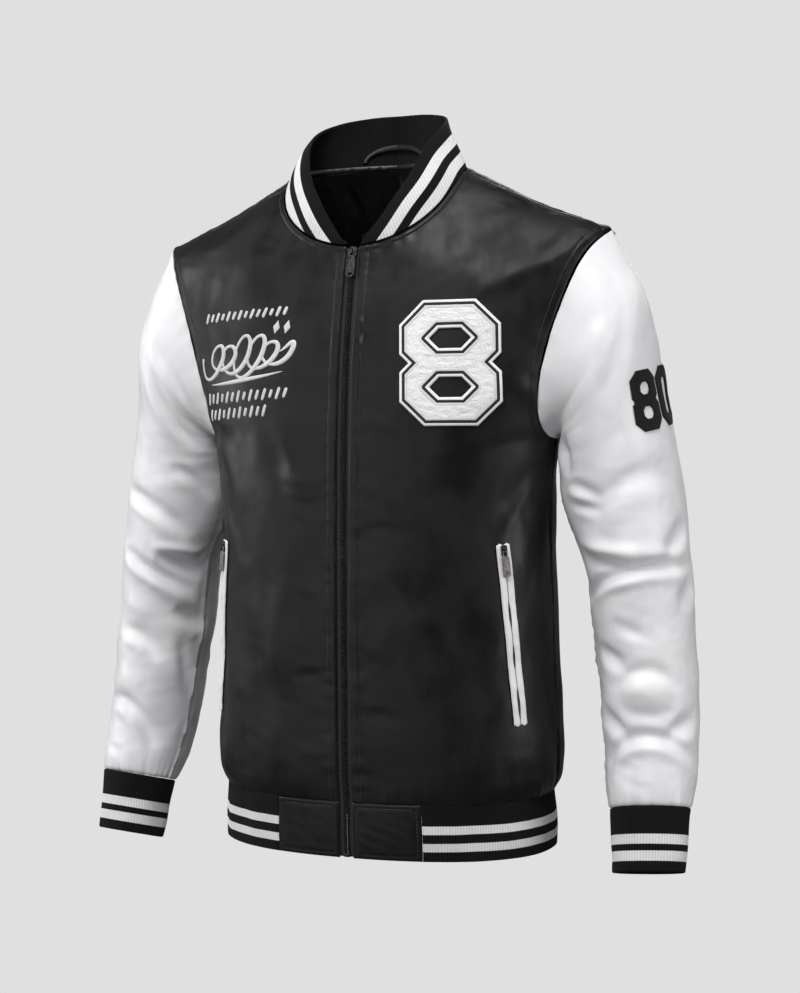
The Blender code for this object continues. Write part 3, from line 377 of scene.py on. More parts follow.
def graded(count, crowd_start, crowd_end, reach=0.05):
    """Shares from 0 to 1 that lie closer together near the ends: the steps go with 1 / (1 + crowding)."""
    s = np.linspace(0, 1, 2001)
    density = 1 + crowd_start * np.exp(-s / reach) + crowd_end * np.exp(-(1 - s) / reach)
    total = np.cumsum(density)
    return np.interp(np.linspace(total[0], total[-1], count), total, s)


def distance_to(points, line):
    """Each point's distance to a line of points, and how far along the line its nearest place is."""
    length, count = lengths_along(line), 260
    dense_at = np.linspace(0, length[-1], count)
    dense = places_at(dense_at, length, line)
    flat = points.reshape(-1, 3)
    square = (flat**2).sum(1)[:, None] + (dense**2).sum(1) - 2 * flat @ dense.T
    best = square.argmin(axis=1)
    ahead = unit(dense[np.minimum(best + 1, count - 1)] - dense[np.maximum(best - 1, 0)])
    gap = flat - dense[best]
    half_step = length[-1] / (count - 1) / 2
    gap -= ahead * np.clip((gap * ahead).sum(axis=1, keepdims=True), -half_step, half_step)
    shape = points.shape[:-1]
    return np.linalg.norm(gap, axis=1).reshape(shape), dense_at[best].reshape(shape)


def seam_relief(distance, along, stitched_at, seed, raised=0.00045, pucker=0.00030):
    """Height beside a topstitched seam: a low band out to the stitches, a groove under them, a dip at the
    edge, and puckers that die away from the stitches."""
    band = raised * (1 - smooth((distance - stitched_at + 0.0008) / 0.0016))
    groove = GROOVE * bell(distance - stitched_at, GROOVE_WIDTH)
    dip = EDGE_DIP * bell(distance, GROOVE_WIDTH)
    gathers = ripple(along, 0 * along, seed, 0.006, 0.022, count=9)
    return band - groove - dip + pucker * gathers * bell(distance - stitched_at, PUCKER_REACH)


def edge_rounding(distance, thickness):
    """How far each side of a wall sinks near its edge, so that the edge is half a circle."""
    share = np.clip(1 - distance / (thickness / 2), 0, 1)
    return thickness / 2 * (1 - np.sqrt(1 - share**2))


def grid_quads(rows, cols, wraps):
    """The quads between the points of a grid, whose rows close into rings where it wraps."""
    r = np.arange(rows - 1)[:, None] * cols
    c = np.arange(cols if wraps else cols - 1)
    ahead = (c + 1) % cols
    return np.stack([r + c, r + ahead, r + ahead + cols, r + c + cols], axis=-1).reshape(-1, 4)


def wall_faces(rows, cols, wraps):
    """The quads of a closed wall between two grids, the outer one first, with a rim along every open edge."""
    outer = grid_quads(rows, cols, wraps)
    c = np.arange(cols if wraps else cols - 1)
    ahead = (c + 1) % cols
    far = rows * cols
    top = (rows - 1) * cols
    rims = [
        np.stack([ahead, c, far + c, far + ahead], axis=-1),
        np.stack([top + c, top + ahead, far + top + ahead, far + top + c], axis=-1),
    ]
    if not wraps:
        left = np.arange(rows - 1) * cols
        right = left + cols - 1
        rims.append(np.stack([left, left + cols, far + left + cols, far + left], axis=-1))
        rims.append(np.stack([right + cols, right, far + right, far + right + cols], axis=-1))
    return np.concatenate([outer, far + outer[:, ::-1], *rims])


def show(name, data):
    """A new object in the scene for a mesh, a camera or a light."""
    made = bpy.data.objects.new(name, data)
    bpy.context.scene.collection.objects.link(made)
    return made


def make_piece(name, points, faces, finish, slot, node=None, uv=None, values=(), sharp=50):
    """A named mesh of quads, lowered to its place, with its material, that rides on the root and stands for a
    CAD node. Its values are kept at its points for the material. The slot is not used."""
    mesh = bpy.data.meshes.new(name)
    mesh.vertices.add(len(points))
    placed = points - np.array([0, 0, HOLD_HEIGHT])
    mesh.vertices.foreach_set("co", placed.astype(np.float32).ravel())
    mesh.loops.add(faces.size)
    mesh.loops.foreach_set("vertex_index", faces.astype(np.int32).ravel())
    mesh.polygons.add(len(faces))
    mesh.polygons.foreach_set("loop_start", np.arange(0, faces.size, faces.shape[1], dtype=np.int32))
    mesh.update(calc_edges=True)
    mesh.validate()
    if uv is not None:
        layer = mesh.uv_layers.new(name="cloth")
        order = np.zeros(len(mesh.loops), np.int32)
        mesh.loops.foreach_get("vertex_index", order)
        layer.uv.foreach_set("vector", uv[order].astype(np.float32).ravel())
    for key, value in dict(values).items():
        layer = mesh.attributes.new(key, "FLOAT", "POINT")
        layer.data.foreach_set("value", value.astype(np.float32).ravel())
    mesh.materials.append(finish)
    mesh.shade_smooth()
    mesh.set_sharp_from_angle(angle=math.radians(sharp))
    made = show(name, mesh)
    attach(made, "root")
    if node:
        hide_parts(node)
    return made


def grid_normals(grid, wraps=False):
    """Unit normals of a grid of points, rows up the cloth and columns across it."""
    across = np.gradient(grid, axis=1)
    if wraps:
        closed = np.concatenate([grid[:, -1:], grid, grid[:, :1]], axis=1)
        across = np.gradient(closed, axis=1)[:, 1:-1]
    return unit(np.cross(across, np.gradient(grid, axis=0)))


def lengths(grid):
    """How far each grid point lies across and up the cloth, in metres along it."""
    across = np.linalg.norm(np.diff(grid, axis=1, prepend=grid[:, :1]), axis=-1).cumsum(axis=1)
    up = np.linalg.norm(np.diff(grid, axis=0, prepend=grid[:1]), axis=-1).cumsum(axis=0)
    return across, up


def make_wall(
    name, node, grid, thickness, finish, slot, outwards=1, edge=None, normals=None, wraps=False, **more
):
    """A closed wall of cloth: the grid is its outer side, and the inner side lies a thickness behind it.
    Where it wraps, its rows close into rings; edge is each point's distance from the nearest open edge."""
    n = grid_normals(grid, wraps) * outwards if normals is None else normals
    sunk = edge_rounding(edge, thickness) if edge is not None else 0 * grid[..., 0]
    outer = grid - n * sunk[..., None]
    inner = grid - n * (thickness - sunk)[..., None]
    faces = wall_faces(*grid.shape[:2], wraps)
    if outwards < 0:
        faces = faces[:, ::-1]
    points = np.concatenate([outer.reshape(-1, 3), inner.reshape(-1, 3)])
    uv = np.stack(lengths(grid), axis=-1).reshape(-1, 2)
    return make_piece(name, points, faces, finish, slot, node, np.tile(uv, (2, 1)), **more)


class Socket:
    """An output of a material's node. Arithmetic on it adds the Math nodes that work it out."""

    def __init__(self, tree, output=None):
        """An output in a node tree; with none it only adds nodes."""
        self.tree = tree
        self.output = output

    def node(self, kind, settings=(), values=(), output=0):
        """A new node with these settings and inputs, as the socket of one of its outputs."""
        made = self.tree.nodes.new("ShaderNode" + kind)
        for name, value in dict(settings).items():
            setattr(made, name, value)
        for name, value in dict(values).items():
            if isinstance(value, Socket):
                self.tree.links.new(value.output, made.inputs[name])
            else:
                made.inputs[name].default_value = value
        return Socket(self.tree, made.outputs[output])

    def math(self, operation, *others):
        """A Math node on this and the others."""
        return self.node("Math", {"operation": operation}, enumerate((self, *others)))

    def __add__(self, other):
        return self.math("ADD", other)

    def __sub__(self, other):
        return self.math("SUBTRACT", other)

    def __mul__(self, other):
        return self.math("MULTIPLY", other)

    def __rsub__(self, other):
        return self * -1 + other

    __radd__ = __add__
    __rmul__ = __mul__

    def waves(self):
        """A sine of this, between 0 and 1."""
        return self.math("SINE") * 0.5 + 0.5

    def band(self, low, high):
        """0 below low, 1 above high and smooth between."""
        limits = {"Value": self, "From Min": low, "From Max": high}
        return self.node("MapRange", {"interpolation_type": "SMOOTHSTEP"}, limits)

    def mix(self, low, high):
        """The colour low where this is 0 and the colour high where it is 1."""
        return self.node("Mix", {"data_type": "RGBA"}, {0: self, 6: low, 7: high}, output=2)

    def noise(self, at, scale, detail=2.0, stretch=(1, 1, 1)):
        """A soft noise of that many swells a metre along each axis."""
        placed = self.node("Mapping", {}, {"Vector": at, "Scale": tuple(scale * s for s in stretch)})
        return self.node("TexNoise", {}, {"Vector": placed, "Scale": 1.0, "Detail": detail})

    def cells(self, at, scale):
        """The distance from the middle of the nearest of irregular cells, that many to a metre."""
        return self.node("TexVoronoi", {"feature": "SMOOTH_F1"}, {"Vector": at, "Scale": scale})

    def object_place(self):
        """The place in space."""
        return self.node("TexCoord", output="Object")

    def cloth_place(self, axis):
        """How far the place lies along the cloth: axis 0 is across it and axis 1 up it."""
        return self.node("SeparateXYZ", {}, {"Vector": self.node("UVMap", {"uv_map": "cloth"})}, output=axis)

    def attribute(self, name):
        """A value kept at the mesh's points."""
        return self.node("Attribute", {"attribute_name": name}, output="Fac")


def start_finish(name, **constants):
    """A new material whose Principled shader has these plain values, and a bare socket to work from."""
    made = bpy.data.materials.new(name)
    made.use_nodes = True
    shader = made.node_tree.nodes["Principled BSDF"]
    for key, value in constants.items():
        shader.inputs[key.replace("_", " ").title().replace("Ior", "IOR")].default_value = value
    return made, Socket(made.node_tree)


def dress(made, color, roughness, height, depth, strength=1.0):
    """Links what changes over the surface: colour, roughness, and a height in depths for the bump."""
    tree = made.node_tree
    bump = Socket(tree).node("Bump", {}, {"Height": height, "Distance": depth, "Strength": strength})
    for key, value in (("Base Color", color), ("Roughness", roughness), ("Normal", bump)):
        tree.links.new(value.output, tree.nodes["Principled BSDF"].inputs[key])
    return made


def coated_cloth(name, dark, light, rough_low, rough_high, specular):
    """Coated cloth with a leather grain of about 1 mm, faint pull lines, and a shine that comes and goes."""
    made, start = start_finish(name, specular_ior_level=specular)
    place = start.object_place()
    mottle = start.noise(place, 16, detail=3.0)
    smear = start.noise(place, 60, detail=2.0, stretch=(1, 1, 0.4))
    patchy = (mottle * 0.7 + smear * 0.3).band(0.34, 0.66)
    grain = start.cells(place, 900)
    pores = start.noise(place, 2600, detail=1.0)
    pulls = start.noise(place, 300, detail=2.0, stretch=(1, 1, 0.35))
    roughness = patchy * (rough_high - rough_low) + rough_low + pores * 0.06
    height = grain * 0.5 + pores * 0.22 + pulls * 0.8
    return dress(made, patchy.mix(dark, light), roughness, height, depth=0.00016, strength=0.55)


black_leather = coated_cloth(
    "black_coated_cloth", (0.0060, 0.0060, 0.0065, 1), (0.0095, 0.0090, 0.0092, 1), 0.28, 0.56, 0.24
)

FRONT_COLUMNS, FRONT_ROWS = 124, 165
ZIP_STITCH = {+1: 0.0098, -1: 0.0085}
ARMHOLE_STITCH = 0.0085
NECK_STITCH = 0.0050
SHOULDER_STITCH = 0.0060
HEM_GATHER, HEM_DIP = 0.00060, 0.00060
PANEL_GAP = 0.0001
SIDE_SEAM_INSET = 0.003


def panel(face, side, start_x, cols, rows):
    """A body panel's points from the hem seam to the neck and the shoulder, centre to side, with normals.
    Its columns stand evenly on the hem, and lean so that they end evenly along the neck and the shoulder."""
    dense = np.linspace(0, 1, 6001)
    end = panel_end(dense, start_x, face) - PANEL_GAP - 0.0006 * np.clip((1 - dense) / 0.04, 0, 1)
    share = share_along(torso_form(across_angle(dense, end, start_x, face), end, face))
    across, rise = graded(cols, 2.0, 3.0), graded(rows, 1.5, 4.0)[:, None]
    top_across, top_up = np.interp(across, share, dense), np.interp(across, share, end)
    low = RIB_TOP + PANEL_GAP
    up = low + (top_up - low) * rise
    angle = across_angle(across + (top_across - across) * rise, up, start_x, face)
    inset = SIDE_SEAM_INSET * np.clip((across - 0.9) / 0.1, 0, 1)
    return torso(angle - inset, up, face, side)


def neck_column(grid):
    """The first column whose upper end is past the neck's corner, on the shoulder seam."""
    return int(np.argmax(np.abs(grid[-1, :, 0]) >= NECK_HALF_WIDTH))


def hem_gathers(grid, seed):
    """Short upright puckers where the panel is eased onto the knit, dying away over 25 mm."""
    across, up = lengths(grid)
    waves = ripple(across, 0 * across, seed, 0.007, 0.020, count=9)
    return HEM_GATHER * waves * np.exp(-up / 0.012) - HEM_DIP * bell(up, 0.0015)


panels = {}
for side_name, side in SIDES:
    grid, out = panel(FRONT, side, ZIP_HALF_OPENING, FRONT_COLUMNS, FRONT_ROWS)
    corner = neck_column(grid)
    to_zip = distance_to(grid, grid[:, 0])
    armhole_foot = int(np.argmax(grid[:, -1, 2] > ARMPIT))
    to_armhole = distance_to(grid, grid[armhole_foot:, -1])
    to_side = distance_to(grid, grid[: armhole_foot + 1, -1])
    to_neck = distance_to(grid, grid[-1, : corner + 1])
    to_shoulder = distance_to(grid, grid[-1, corner:])
    height = seam_relief(*to_zip, ZIP_STITCH[side], 31 + side, raised=0.00060, pucker=0.00045)
    height += seam_relief(*to_armhole, ARMHOLE_STITCH, 34 + side)
    height += seam_relief(*to_neck, NECK_STITCH, 37 + side, raised=0.00090)
    height += seam_relief(*to_shoulder, SHOULDER_STITCH, 40 + side)
    height += seam_relief(*to_side, 0.0, 43 + side, raised=0.0, pucker=0.00025)
    height += hem_gathers(grid, 46 + side)
    grid = grid + out * height[..., None]
    sewn = {"zip": to_zip[0], "armhole": to_armhole[0], "neck": to_neck[0], "shoulder": to_shoulder[0]}
    edge = np.minimum.reduce([to_side[0], *sewn.values()])
    node = "front_" + side_name
    piece = make_wall(node + "_cloth", node, grid, SHELL, black_leather, "black_leather", side, edge, out)
    ["back_cloth"] if side < 0 else []
    panels[side] = {"grid": grid, "out": out, **sewn}


# ---------------------------------------------------------------- back and lining
# The back is one piece of the same black coated cloth, from side seam to side seam, with the low bands and
# grooves of topstitched seams along the armholes and the neck, though no thread is made for them. Inside it
# hangs a black satin lining, gathered where it is sewn under the neck.
BACK_COLUMNS, BACK_ROWS = 88, 120
LINING = 0.0010
LINING_LIFT = 0.0009
LINING_DROP, LINING_BULGE, LINING_GATHER = 0.0010, 0.0028, 0.0022
LINING_FOOT = 0.360
LINING_SEAM_X = -0.061

half, half_out = panel(BACK, +1, 0.0, BACK_COLUMNS, BACK_ROWS)
grid = np.concatenate([half[:, :0:-1] * FLIP[-1], half], axis=1)
out = np.concatenate([half_out[:, :0:-1] * FLIP[-1], half_out], axis=1)
inner_grid = grid.copy()
armhole_foot = int(np.argmax(grid[:, -1, 2] > ARMPIT))
middle = BACK_COLUMNS - 1
corner = neck_column(half)
height = 0 * grid[..., 0]
edges = []
for k, col in enumerate((0, -1)):
    to_armhole = distance_to(grid, grid[armhole_foot:, col])
    to_side = distance_to(grid, grid[: armhole_foot + 1, col])
    to_shoulder = distance_to(grid, grid[-1, middle + corner :] if col else grid[-1, : middle - corner + 1])
    height += seam_relief(*to_armhole, ARMHOLE_STITCH, 50 + k)
    height += seam_relief(*to_side, 0.0, 52 + k, raised=0.0, pucker=0.00025)
    height += seam_relief(*to_shoulder, SHOULDER_STITCH, 54 + k)
    edges += [to_armhole[0], to_side[0], to_shoulder[0]]
to_neck = distance_to(grid, grid[-1, middle - corner : middle + corner + 1])
height += seam_relief(*to_neck, NECK_STITCH, 56, raised=0.00090) + hem_gathers(grid, 57)
grid = grid + out * height[..., None]
edge = np.minimum.reduce([*edges, to_neck[0]])
piece = make_wall("back_cloth", "back", grid, SHELL, black_leather, "black_leather", -1, edge, out)


def satin_cloth(name, dark, light):
    """Black satin: a close sheen with a faint grain across it, and the weave's fine lines."""
    made, start = start_finish(name, sheen_weight=0.25, sheen_roughness=0.4, specular_ior_level=0.45)
    place = start.object_place()
    shade = start.noise(place, 30, detail=3.0).band(0.35, 0.7)
    weave = start.noise(place, 2400, detail=1.0, stretch=(1, 1, 0.12))
    return dress(made, shade.mix(dark, light), shade * 0.14 + 0.30, weave, depth=0.00006, strength=0.5)


satin = satin_cloth("black_satin", (0.0040, 0.0040, 0.0045, 1), (0.0085, 0.0085, 0.0090, 1))

# The lining hangs inside the back, with soft gathers that run down from the neck and one upright seam.
first = int(np.argmax(inner_grid[:, middle, 2] > LINING_FOOT))
lining = inner_grid[first:, 2:-2]
n = grid_normals(lining) * -1
up_m = lengths(lining)[1]
from_top = up_m[-1] - up_m
gathers = ripple(lining[..., 0], 0.25 * from_top, 61, 0.012, 0.045, count=10)
seam = bell(lining[..., 0] - LINING_SEAM_X, 0.0016)
neckward = bell(lining[..., 0], 0.10) * np.exp(-from_top / 0.14) * smooth(from_top / 0.02)
drop = LINING_DROP + (LINING_BULGE + LINING_GATHER * gathers) * neckward + 0.0008 * seam
lining = lining - n * (SHELL + LINING_LIFT + drop)[..., None]
piece = make_wall("satin_lining", "back_lining", lining, LINING, satin, "satin", -1)


# ---------------------------------------------------------------- sleeves
# One-piece sleeves of white coated cloth, set into the armholes, with one seam along the inner arm. The cloth
# has slid down the arm and folds across it above the elbow, below it and at the cuff.
SLEEVE_RADIUS = 0.055
SLEEVE_END = 0.491
SLEEVE_COLUMNS, SLEEVE_ROWS = 132, 190
SLEEVE_START = 0.0016
SLEEVE_SEAM = 170
SLEEVE_FOLD_DEPTH = 1.3
SLEEVE_SWELL, SLEEVE_CREASE = 0.00060, 0.00035
SEAM_RIDGE, SEAM_DITCH = 0.0013, 0.0012
SLEEVE_EASE = 0.0006
SLEEVE = columns(
    "along  x       y        up      lean  pitch  half_out  half_deep",
    (0.055, 0.2260, 0.0090, 0.4690, 58.0, -3.0, 0.0770, 0.0640),
    (0.115, 0.2310, 0.0190, 0.4130, 27.0, -8.0, 0.0570, 0.0670),
    (0.190, 0.2400, 0.0230, 0.3450, 11.0, -4.0, 0.0580, 0.0660),
    (0.260, 0.2550, 0.0210, 0.2780, 6.0, 0.0, 0.0500, 0.0620),
    (0.325, 0.2615, 0.0190, 0.2130, 3.0, 5.0, 0.0485, 0.0570),
    (0.400, 0.2690, 0.0095, 0.1400, 3.0, 11.0, 0.0460, 0.0530),
    (0.455, 0.2735, -0.0030, 0.0860, 4.0, 14.0, 0.0440, 0.0470),
    (0.480, 0.2755, -0.0150, 0.0620, 4.7, 15.0, 0.0410, 0.0410),
    (0.491, 0.2767, -0.0215, 0.0500, 4.7, 15.0, 0.0390, 0.0345),
)
INNER_FOLDS = (
    (210, 0.300, 270, 0.275, 330, 0.270, 0.0120, -0.0050, 0.0015),
    (215, 0.410, 270, 0.385, 325, 0.372, 0.0100, -0.0045, 0.0015),
    (200, 0.210, 240, 0.238, 282, 0.232, 0.0100, -0.0042, 0.0015),
    (225, 0.120, 262, 0.152, 300, 0.172, 0.0120, -0.0030, 0.0010),
    (200, 0.345, 236, 0.352, 284, 0.334, 0.0090, -0.0035, 0.0010),
    (206, 0.456, 262, 0.441, 322, 0.448, 0.0080, -0.0042, 0.0015),
)
SLEEVE_FOLDS = {
    +1: columns(
        FOLD,
        (54, 0.036, 70, 0.031, 90, 0.022, 0.0100, -0.0022, 0.0008),
        (30, 0.046, 56, 0.072, 82, 0.092, 0.0100, -0.0020, 0.0006),
        (140, 0.088, 134, 0.120, 126, 0.154, 0.0080, -0.0042, 0.0015),
        (124, 0.158, 108, 0.172, 90, 0.188, 0.0070, -0.0038, 0.0016),
        (128, 0.186, 112, 0.191, 94, 0.200, 0.0060, -0.0032, 0.0010),
        (116, 0.222, 62, 0.172, 0, 0.203, 0.0120, -0.0026, 0.0012),
        (142, 0.226, 92, 0.243, 16, 0.252, 0.0080, 0.0036, 0.0),
        (138, 0.244, 106, 0.253, 80, 0.258, 0.0080, -0.0064, 0.0),
        (156, 0.294, 88, 0.264, -12, 0.268, 0.0066, -0.0062, 0.0026),
        (114, 0.312, 90, 0.322, 64, 0.333, 0.0070, -0.0018, 0.0005),
        (138, 0.338, 118, 0.350, 98, 0.364, 0.0080, -0.0048, 0.0010),
        (120, 0.388, 76, 0.364, 34, 0.386, 0.0080, -0.0032, 0.0010),
        (106, 0.390, 76, 0.387, 46, 0.390, 0.0120, 0.0032, 0.0),
        (120, 0.396, 74, 0.410, 34, 0.397, 0.0080, -0.0024, 0.0),
        (148, 0.403, 122, 0.418, 102, 0.430, 0.0080, -0.0048, 0.0010),
        (58, 0.428, 34, 0.419, 4, 0.406, 0.0090, -0.0048, 0.0010),
        (146, 0.458, 78, 0.430, 0, 0.460, 0.0070, -0.0058, 0.0022),
        (120, 0.473, 95, 0.478, 66, 0.484, 0.0060, -0.0018, 0.0006),
        (40, 0.250, 22, 0.238, 4, 0.220, 0.0090, -0.0048, 0.0010),
        (30, 0.300, 12, 0.290, -8, 0.274, 0.0090, -0.0042, 0.0010),
        *INNER_FOLDS,
    ),
    -1: columns(
        FOLD,
        (62, 0.042, 98, 0.035, 136, 0.034, 0.0090, -0.0048, 0.0014),
        (74, 0.060, 106, 0.080, 138, 0.112, 0.0100, -0.0042, 0.0016),
        (104, 0.144, 126, 0.154, 148, 0.184, 0.0080, -0.0036, 0.0012),
        (40, 0.192, 84, 0.197, 134, 0.230, 0.0075, -0.0056, 0.0022),
        (92, 0.244, 124, 0.245, 156, 0.250, 0.0060, 0.0034, 0.0),
        (102, 0.254, 130, 0.262, 160, 0.276, 0.0100, -0.0048, 0.0),
        (54, 0.250, 98, 0.271, 154, 0.292, 0.0068, -0.0062, 0.0025),
        (98, 0.284, 130, 0.301, 162, 0.306, 0.0080, 0.0020, 0.0),
        (56, 0.340, 92, 0.347, 118, 0.376, 0.0076, -0.0048, 0.0016),
        (128, 0.312, 146, 0.322, 172, 0.331, 0.0090, -0.0032, 0.0010),
        (36, 0.424, 86, 0.424, 132, 0.470, 0.0076, -0.0050, 0.0017),
        (138, 0.343, 150, 0.370, 160, 0.404, 0.0080, -0.0022, 0.0008),
        (70, 0.108, 84, 0.140, 92, 0.172, 0.0120, -0.0016, 0.0),
        (60, 0.300, 84, 0.316, 104, 0.320, 0.0100, 0.0016, 0.0),
        (58, 0.382, 80, 0.396, 104, 0.402, 0.0100, 0.0016, 0.0),
        (44, 0.470, 70, 0.474, 100, 0.486, 0.0060, -0.0016, 0.0006),
        *INNER_FOLDS,
    ),
}


def armhole_ring(around):
    """The armhole's curve on the wearer's left, at angles round the sleeve from its top towards the front."""
    up = ARMHOLE_MIDDLE + (SHOULDER_TIP - ARMHOLE_MIDDLE) * np.cos(around)
    in_front = torso_form(edge_angle(up, FRONT), up, FRONT)
    behind = torso_form(edge_angle(up, BACK), up, BACK)
    return np.where(np.sin(around)[..., None] > 0, in_front, behind)


def tilted_ring(row, around):
    """An ellipse about the row's centre, in a plane that leans outwards and pitches forwards."""
    lean, pitch = math.radians(row["lean"]), math.radians(row["pitch"])
    out = np.array([math.cos(lean), 0, math.sin(lean)]) * row["half_out"]
    deep = np.array([0, -math.cos(pitch), math.sin(pitch)]) * row["half_deep"]
    centre = np.array([row["x"], row["y"], row["up"]])
    return centre + np.cos(around)[..., None] * out + np.sin(around)[..., None] * deep


def sleeve_form(around, along):
    """The smooth sleeve on the wearer's left, splined along it through the rings at each angle."""
    shape = np.broadcast(around, along).shape
    around, along = (np.broadcast_to(a, shape).ravel() for a in (around, along))
    rings = np.stack([armhole_ring(around)] + [tilted_ring(row, around) for row in rows_of(SLEEVE)])
    knots = np.concatenate([[0.0], SLEEVE["along"]])
    slopes = np.gradient(rings, knots, axis=0)
    at = np.clip(along, 0, SLEEVE_END)
    i = np.clip(np.searchsorted(knots, at) - 1, 0, len(knots) - 2)
    span = (knots[i + 1] - knots[i])[:, None]
    t = (at - knots[i])[:, None] / span
    place = np.arange(len(at))
    points = cubic(rings[i, place], rings[i + 1, place], slopes[i, place], slopes[i + 1, place], span, t)
    return points.reshape(*shape, 3)


def sleeve(around, along, side):
    """The sleeve with its folds, its inner seam and a slight swell, and the normals that point out of it."""
    inside = np.clip(along, 0.004, SLEEVE_END - 0.004)
    out = normal_between(sleeve_form, around, inside, 0.02, 0.002)
    degrees = np.degrees(around)
    folds = SLEEVE_FOLDS[side]
    height = sum(fold_height(folds, degrees + turn, along, SLEEVE_RADIUS) for turn in (-360, 0))
    fade = smooth((along - 0.008) / 0.05) * smooth((SLEEVE_END - along) / 0.03)
    u = SLEEVE_RADIUS * np.sin(around)
    w = SLEEVE_RADIUS * np.cos(around)
    swell = SLEEVE_SWELL * ripple(u + w, along + 0.4 * w, 70 + side, 0.035, 0.080)
    creased = np.sqrt(ripple(u - 0.6 * w, along - 0.5 * u, 74 + side, 0.016, 0.045) ** 2 + 0.04)
    height = (SLEEVE_FOLD_DEPTH * height + swell - SLEEVE_CREASE * creased) * fade
    from_seam = (degrees - SLEEVE_SEAM) * math.pi / 180 * SLEEVE_RADIUS
    pulls = 1 + 0.45 * ripple(along, 0 * along, 78 + side, 0.010, 0.035, count=9)
    seam = SEAM_RIDGE * bell(from_seam + 0.0016, 0.0020) - SEAM_DITCH * bell(from_seam - 0.001, 0.0012)
    height = height + seam * pulls
    return (sleeve_form(around, along) + out * height[..., None]) * FLIP[side], out * FLIP[side]


white_leather = coated_cloth(
    "white_coated_cloth", (0.80, 0.79, 0.815, 1), (0.89, 0.885, 0.895, 1), 0.36, 0.48, 0.38
)
around = np.linspace(0, 2 * math.pi, SLEEVE_COLUMNS, endpoint=False) + 1e-4
along = SLEEVE_START + (SLEEVE_END - SLEEVE_START) * graded(SLEEVE_ROWS, 2.0, 2.0)
for side_name, side in SIDES:
    grid, out = sleeve(around[None, :], along[:, None], side)
    across_m = around[None, :] * SLEEVE_RADIUS
    from_armhole, from_cuff = along[:, None], SLEEVE_END - along[:, None]
    eased = ripple(across_m, 0 * across_m, 80 + side, 0.008, 0.026, count=9)
    eased = SLEEVE_EASE * eased * (np.exp(-from_armhole / 0.012) + np.exp(-from_cuff / 0.010))
    height = eased - 0.0008 * bell(from_armhole, 0.0025) - 0.0010 * bell(from_cuff, 0.0020)
    grid = grid + out * height[..., None]
    edge = np.broadcast_to(np.minimum(from_armhole, from_cuff), grid.shape[:2])
    node = "sleeve_" + side_name
    look = (SHELL, white_leather, "white_leather")
    piece = make_wall(node + "_cloth", node, grid, *look, side, edge, wraps=True)


# ---------------------------------------------------------------- rib knit: hem, cuffs and collar
# The hem band, the cuffs and the standing collar are double rib knit in black with two white stripes. The
# ribs run across the band, so that it stretches round the body, and the stripes run along its free edge.
KNIT = 0.0030
KNIT_SWELL, CUFF_SWELL, COLLAR_SWELL = 0.0010, 0.0007, 0.0012
RIB_PITCH = 0.0030
RIB_DEEP = 0.00042
STITCH_ROW = 0.00125
STRIPE_BLUR = 0.0002
POINTS_A_RIB = 4
HEM = columns(
    "up     half_width  front   back",
    (0.0000, 0.1720, 0.1085, 0.1005),
    (0.0180, 0.1725, 0.1095, 0.1010),
    (0.0550, 0.1695, 0.1098, 0.1000),
)
HEM_REACH = 0.172
TAB_END = 0.0760
TAB_GAP = 0.0003
HEM_STRIPES = ((0.0100, 0.0180), (0.0266, 0.0346))
HEM_RIB_LONG = 0.824
CUFF = columns(
    "along  x       y        up       lean  pitch  half_out  half_deep",
    (0.0000, 0.2767, -0.0217, 0.0493, 4.7, 15.0, 0.0386, 0.0335),
    (0.0200, 0.2775, -0.0275, 0.0300, 4.7, 15.0, 0.0370, 0.0310),
    (0.0550, 0.2788, -0.0365, -0.0035, 4.7, 15.0, 0.0352, 0.0290),
    (0.0600, 0.2790, -0.0377, -0.0080, 4.7, 15.0, 0.0348, 0.0286),
)
CUFF_STRIPES = ((0.0105, 0.0200), (0.0262, 0.0352))
CUFF_RIBS = 74


def knit(name, stripes):
    """Rib knit: white yarn where the distance from the free edge falls in a stripe, black elsewhere; painted
    shade darkens both yarns down the valleys between the ribs and in the gaps between stitches, and each
    stitch is a small V."""
    made, start = start_finish(name, sheen_weight=0.04, sheen_roughness=0.5, specular_ior_level=0.10)
    leg = (start.cloth_place(0) * (2 * math.pi / (RIB_PITCH / 2))).math("SINE")
    row_at = start.cloth_place(1) * (2 * math.pi / STITCH_ROW)
    loop = (row_at + leg * 1.7).waves()
    fibre = start.noise(start.object_place(), 1900, detail=2.0)
    away = start.attribute("from_edge")
    stripe = away * 0
    for low, high in stripes:
        within = away.band(low - STRIPE_BLUR, low + STRIPE_BLUR)
        stripe = stripe + within - away.band(high - STRIPE_BLUR, high + STRIPE_BLUR)
    # The rib attribute is 1 on the crests and 0 in the valleys: with the stitch loops it darkens the yarn
    # colour as painted shade.
    valley_shade = start.attribute("rib")
    black = (valley_shade * 0.7 + loop * 0.3).mix((0.0020, 0.0020, 0.0023, 1), (0.0110, 0.0105, 0.0108, 1))
    white = (valley_shade * 0.65 + loop * 0.35).mix((0.62, 0.62, 0.64, 1), (0.92, 0.92, 0.92, 1))
    height = loop * 0.7 + fibre * 0.5
    return dress(made, stripe.mix(black, white), fibre * 0.1 + 0.80, height, depth=0.00030, strength=0.8)


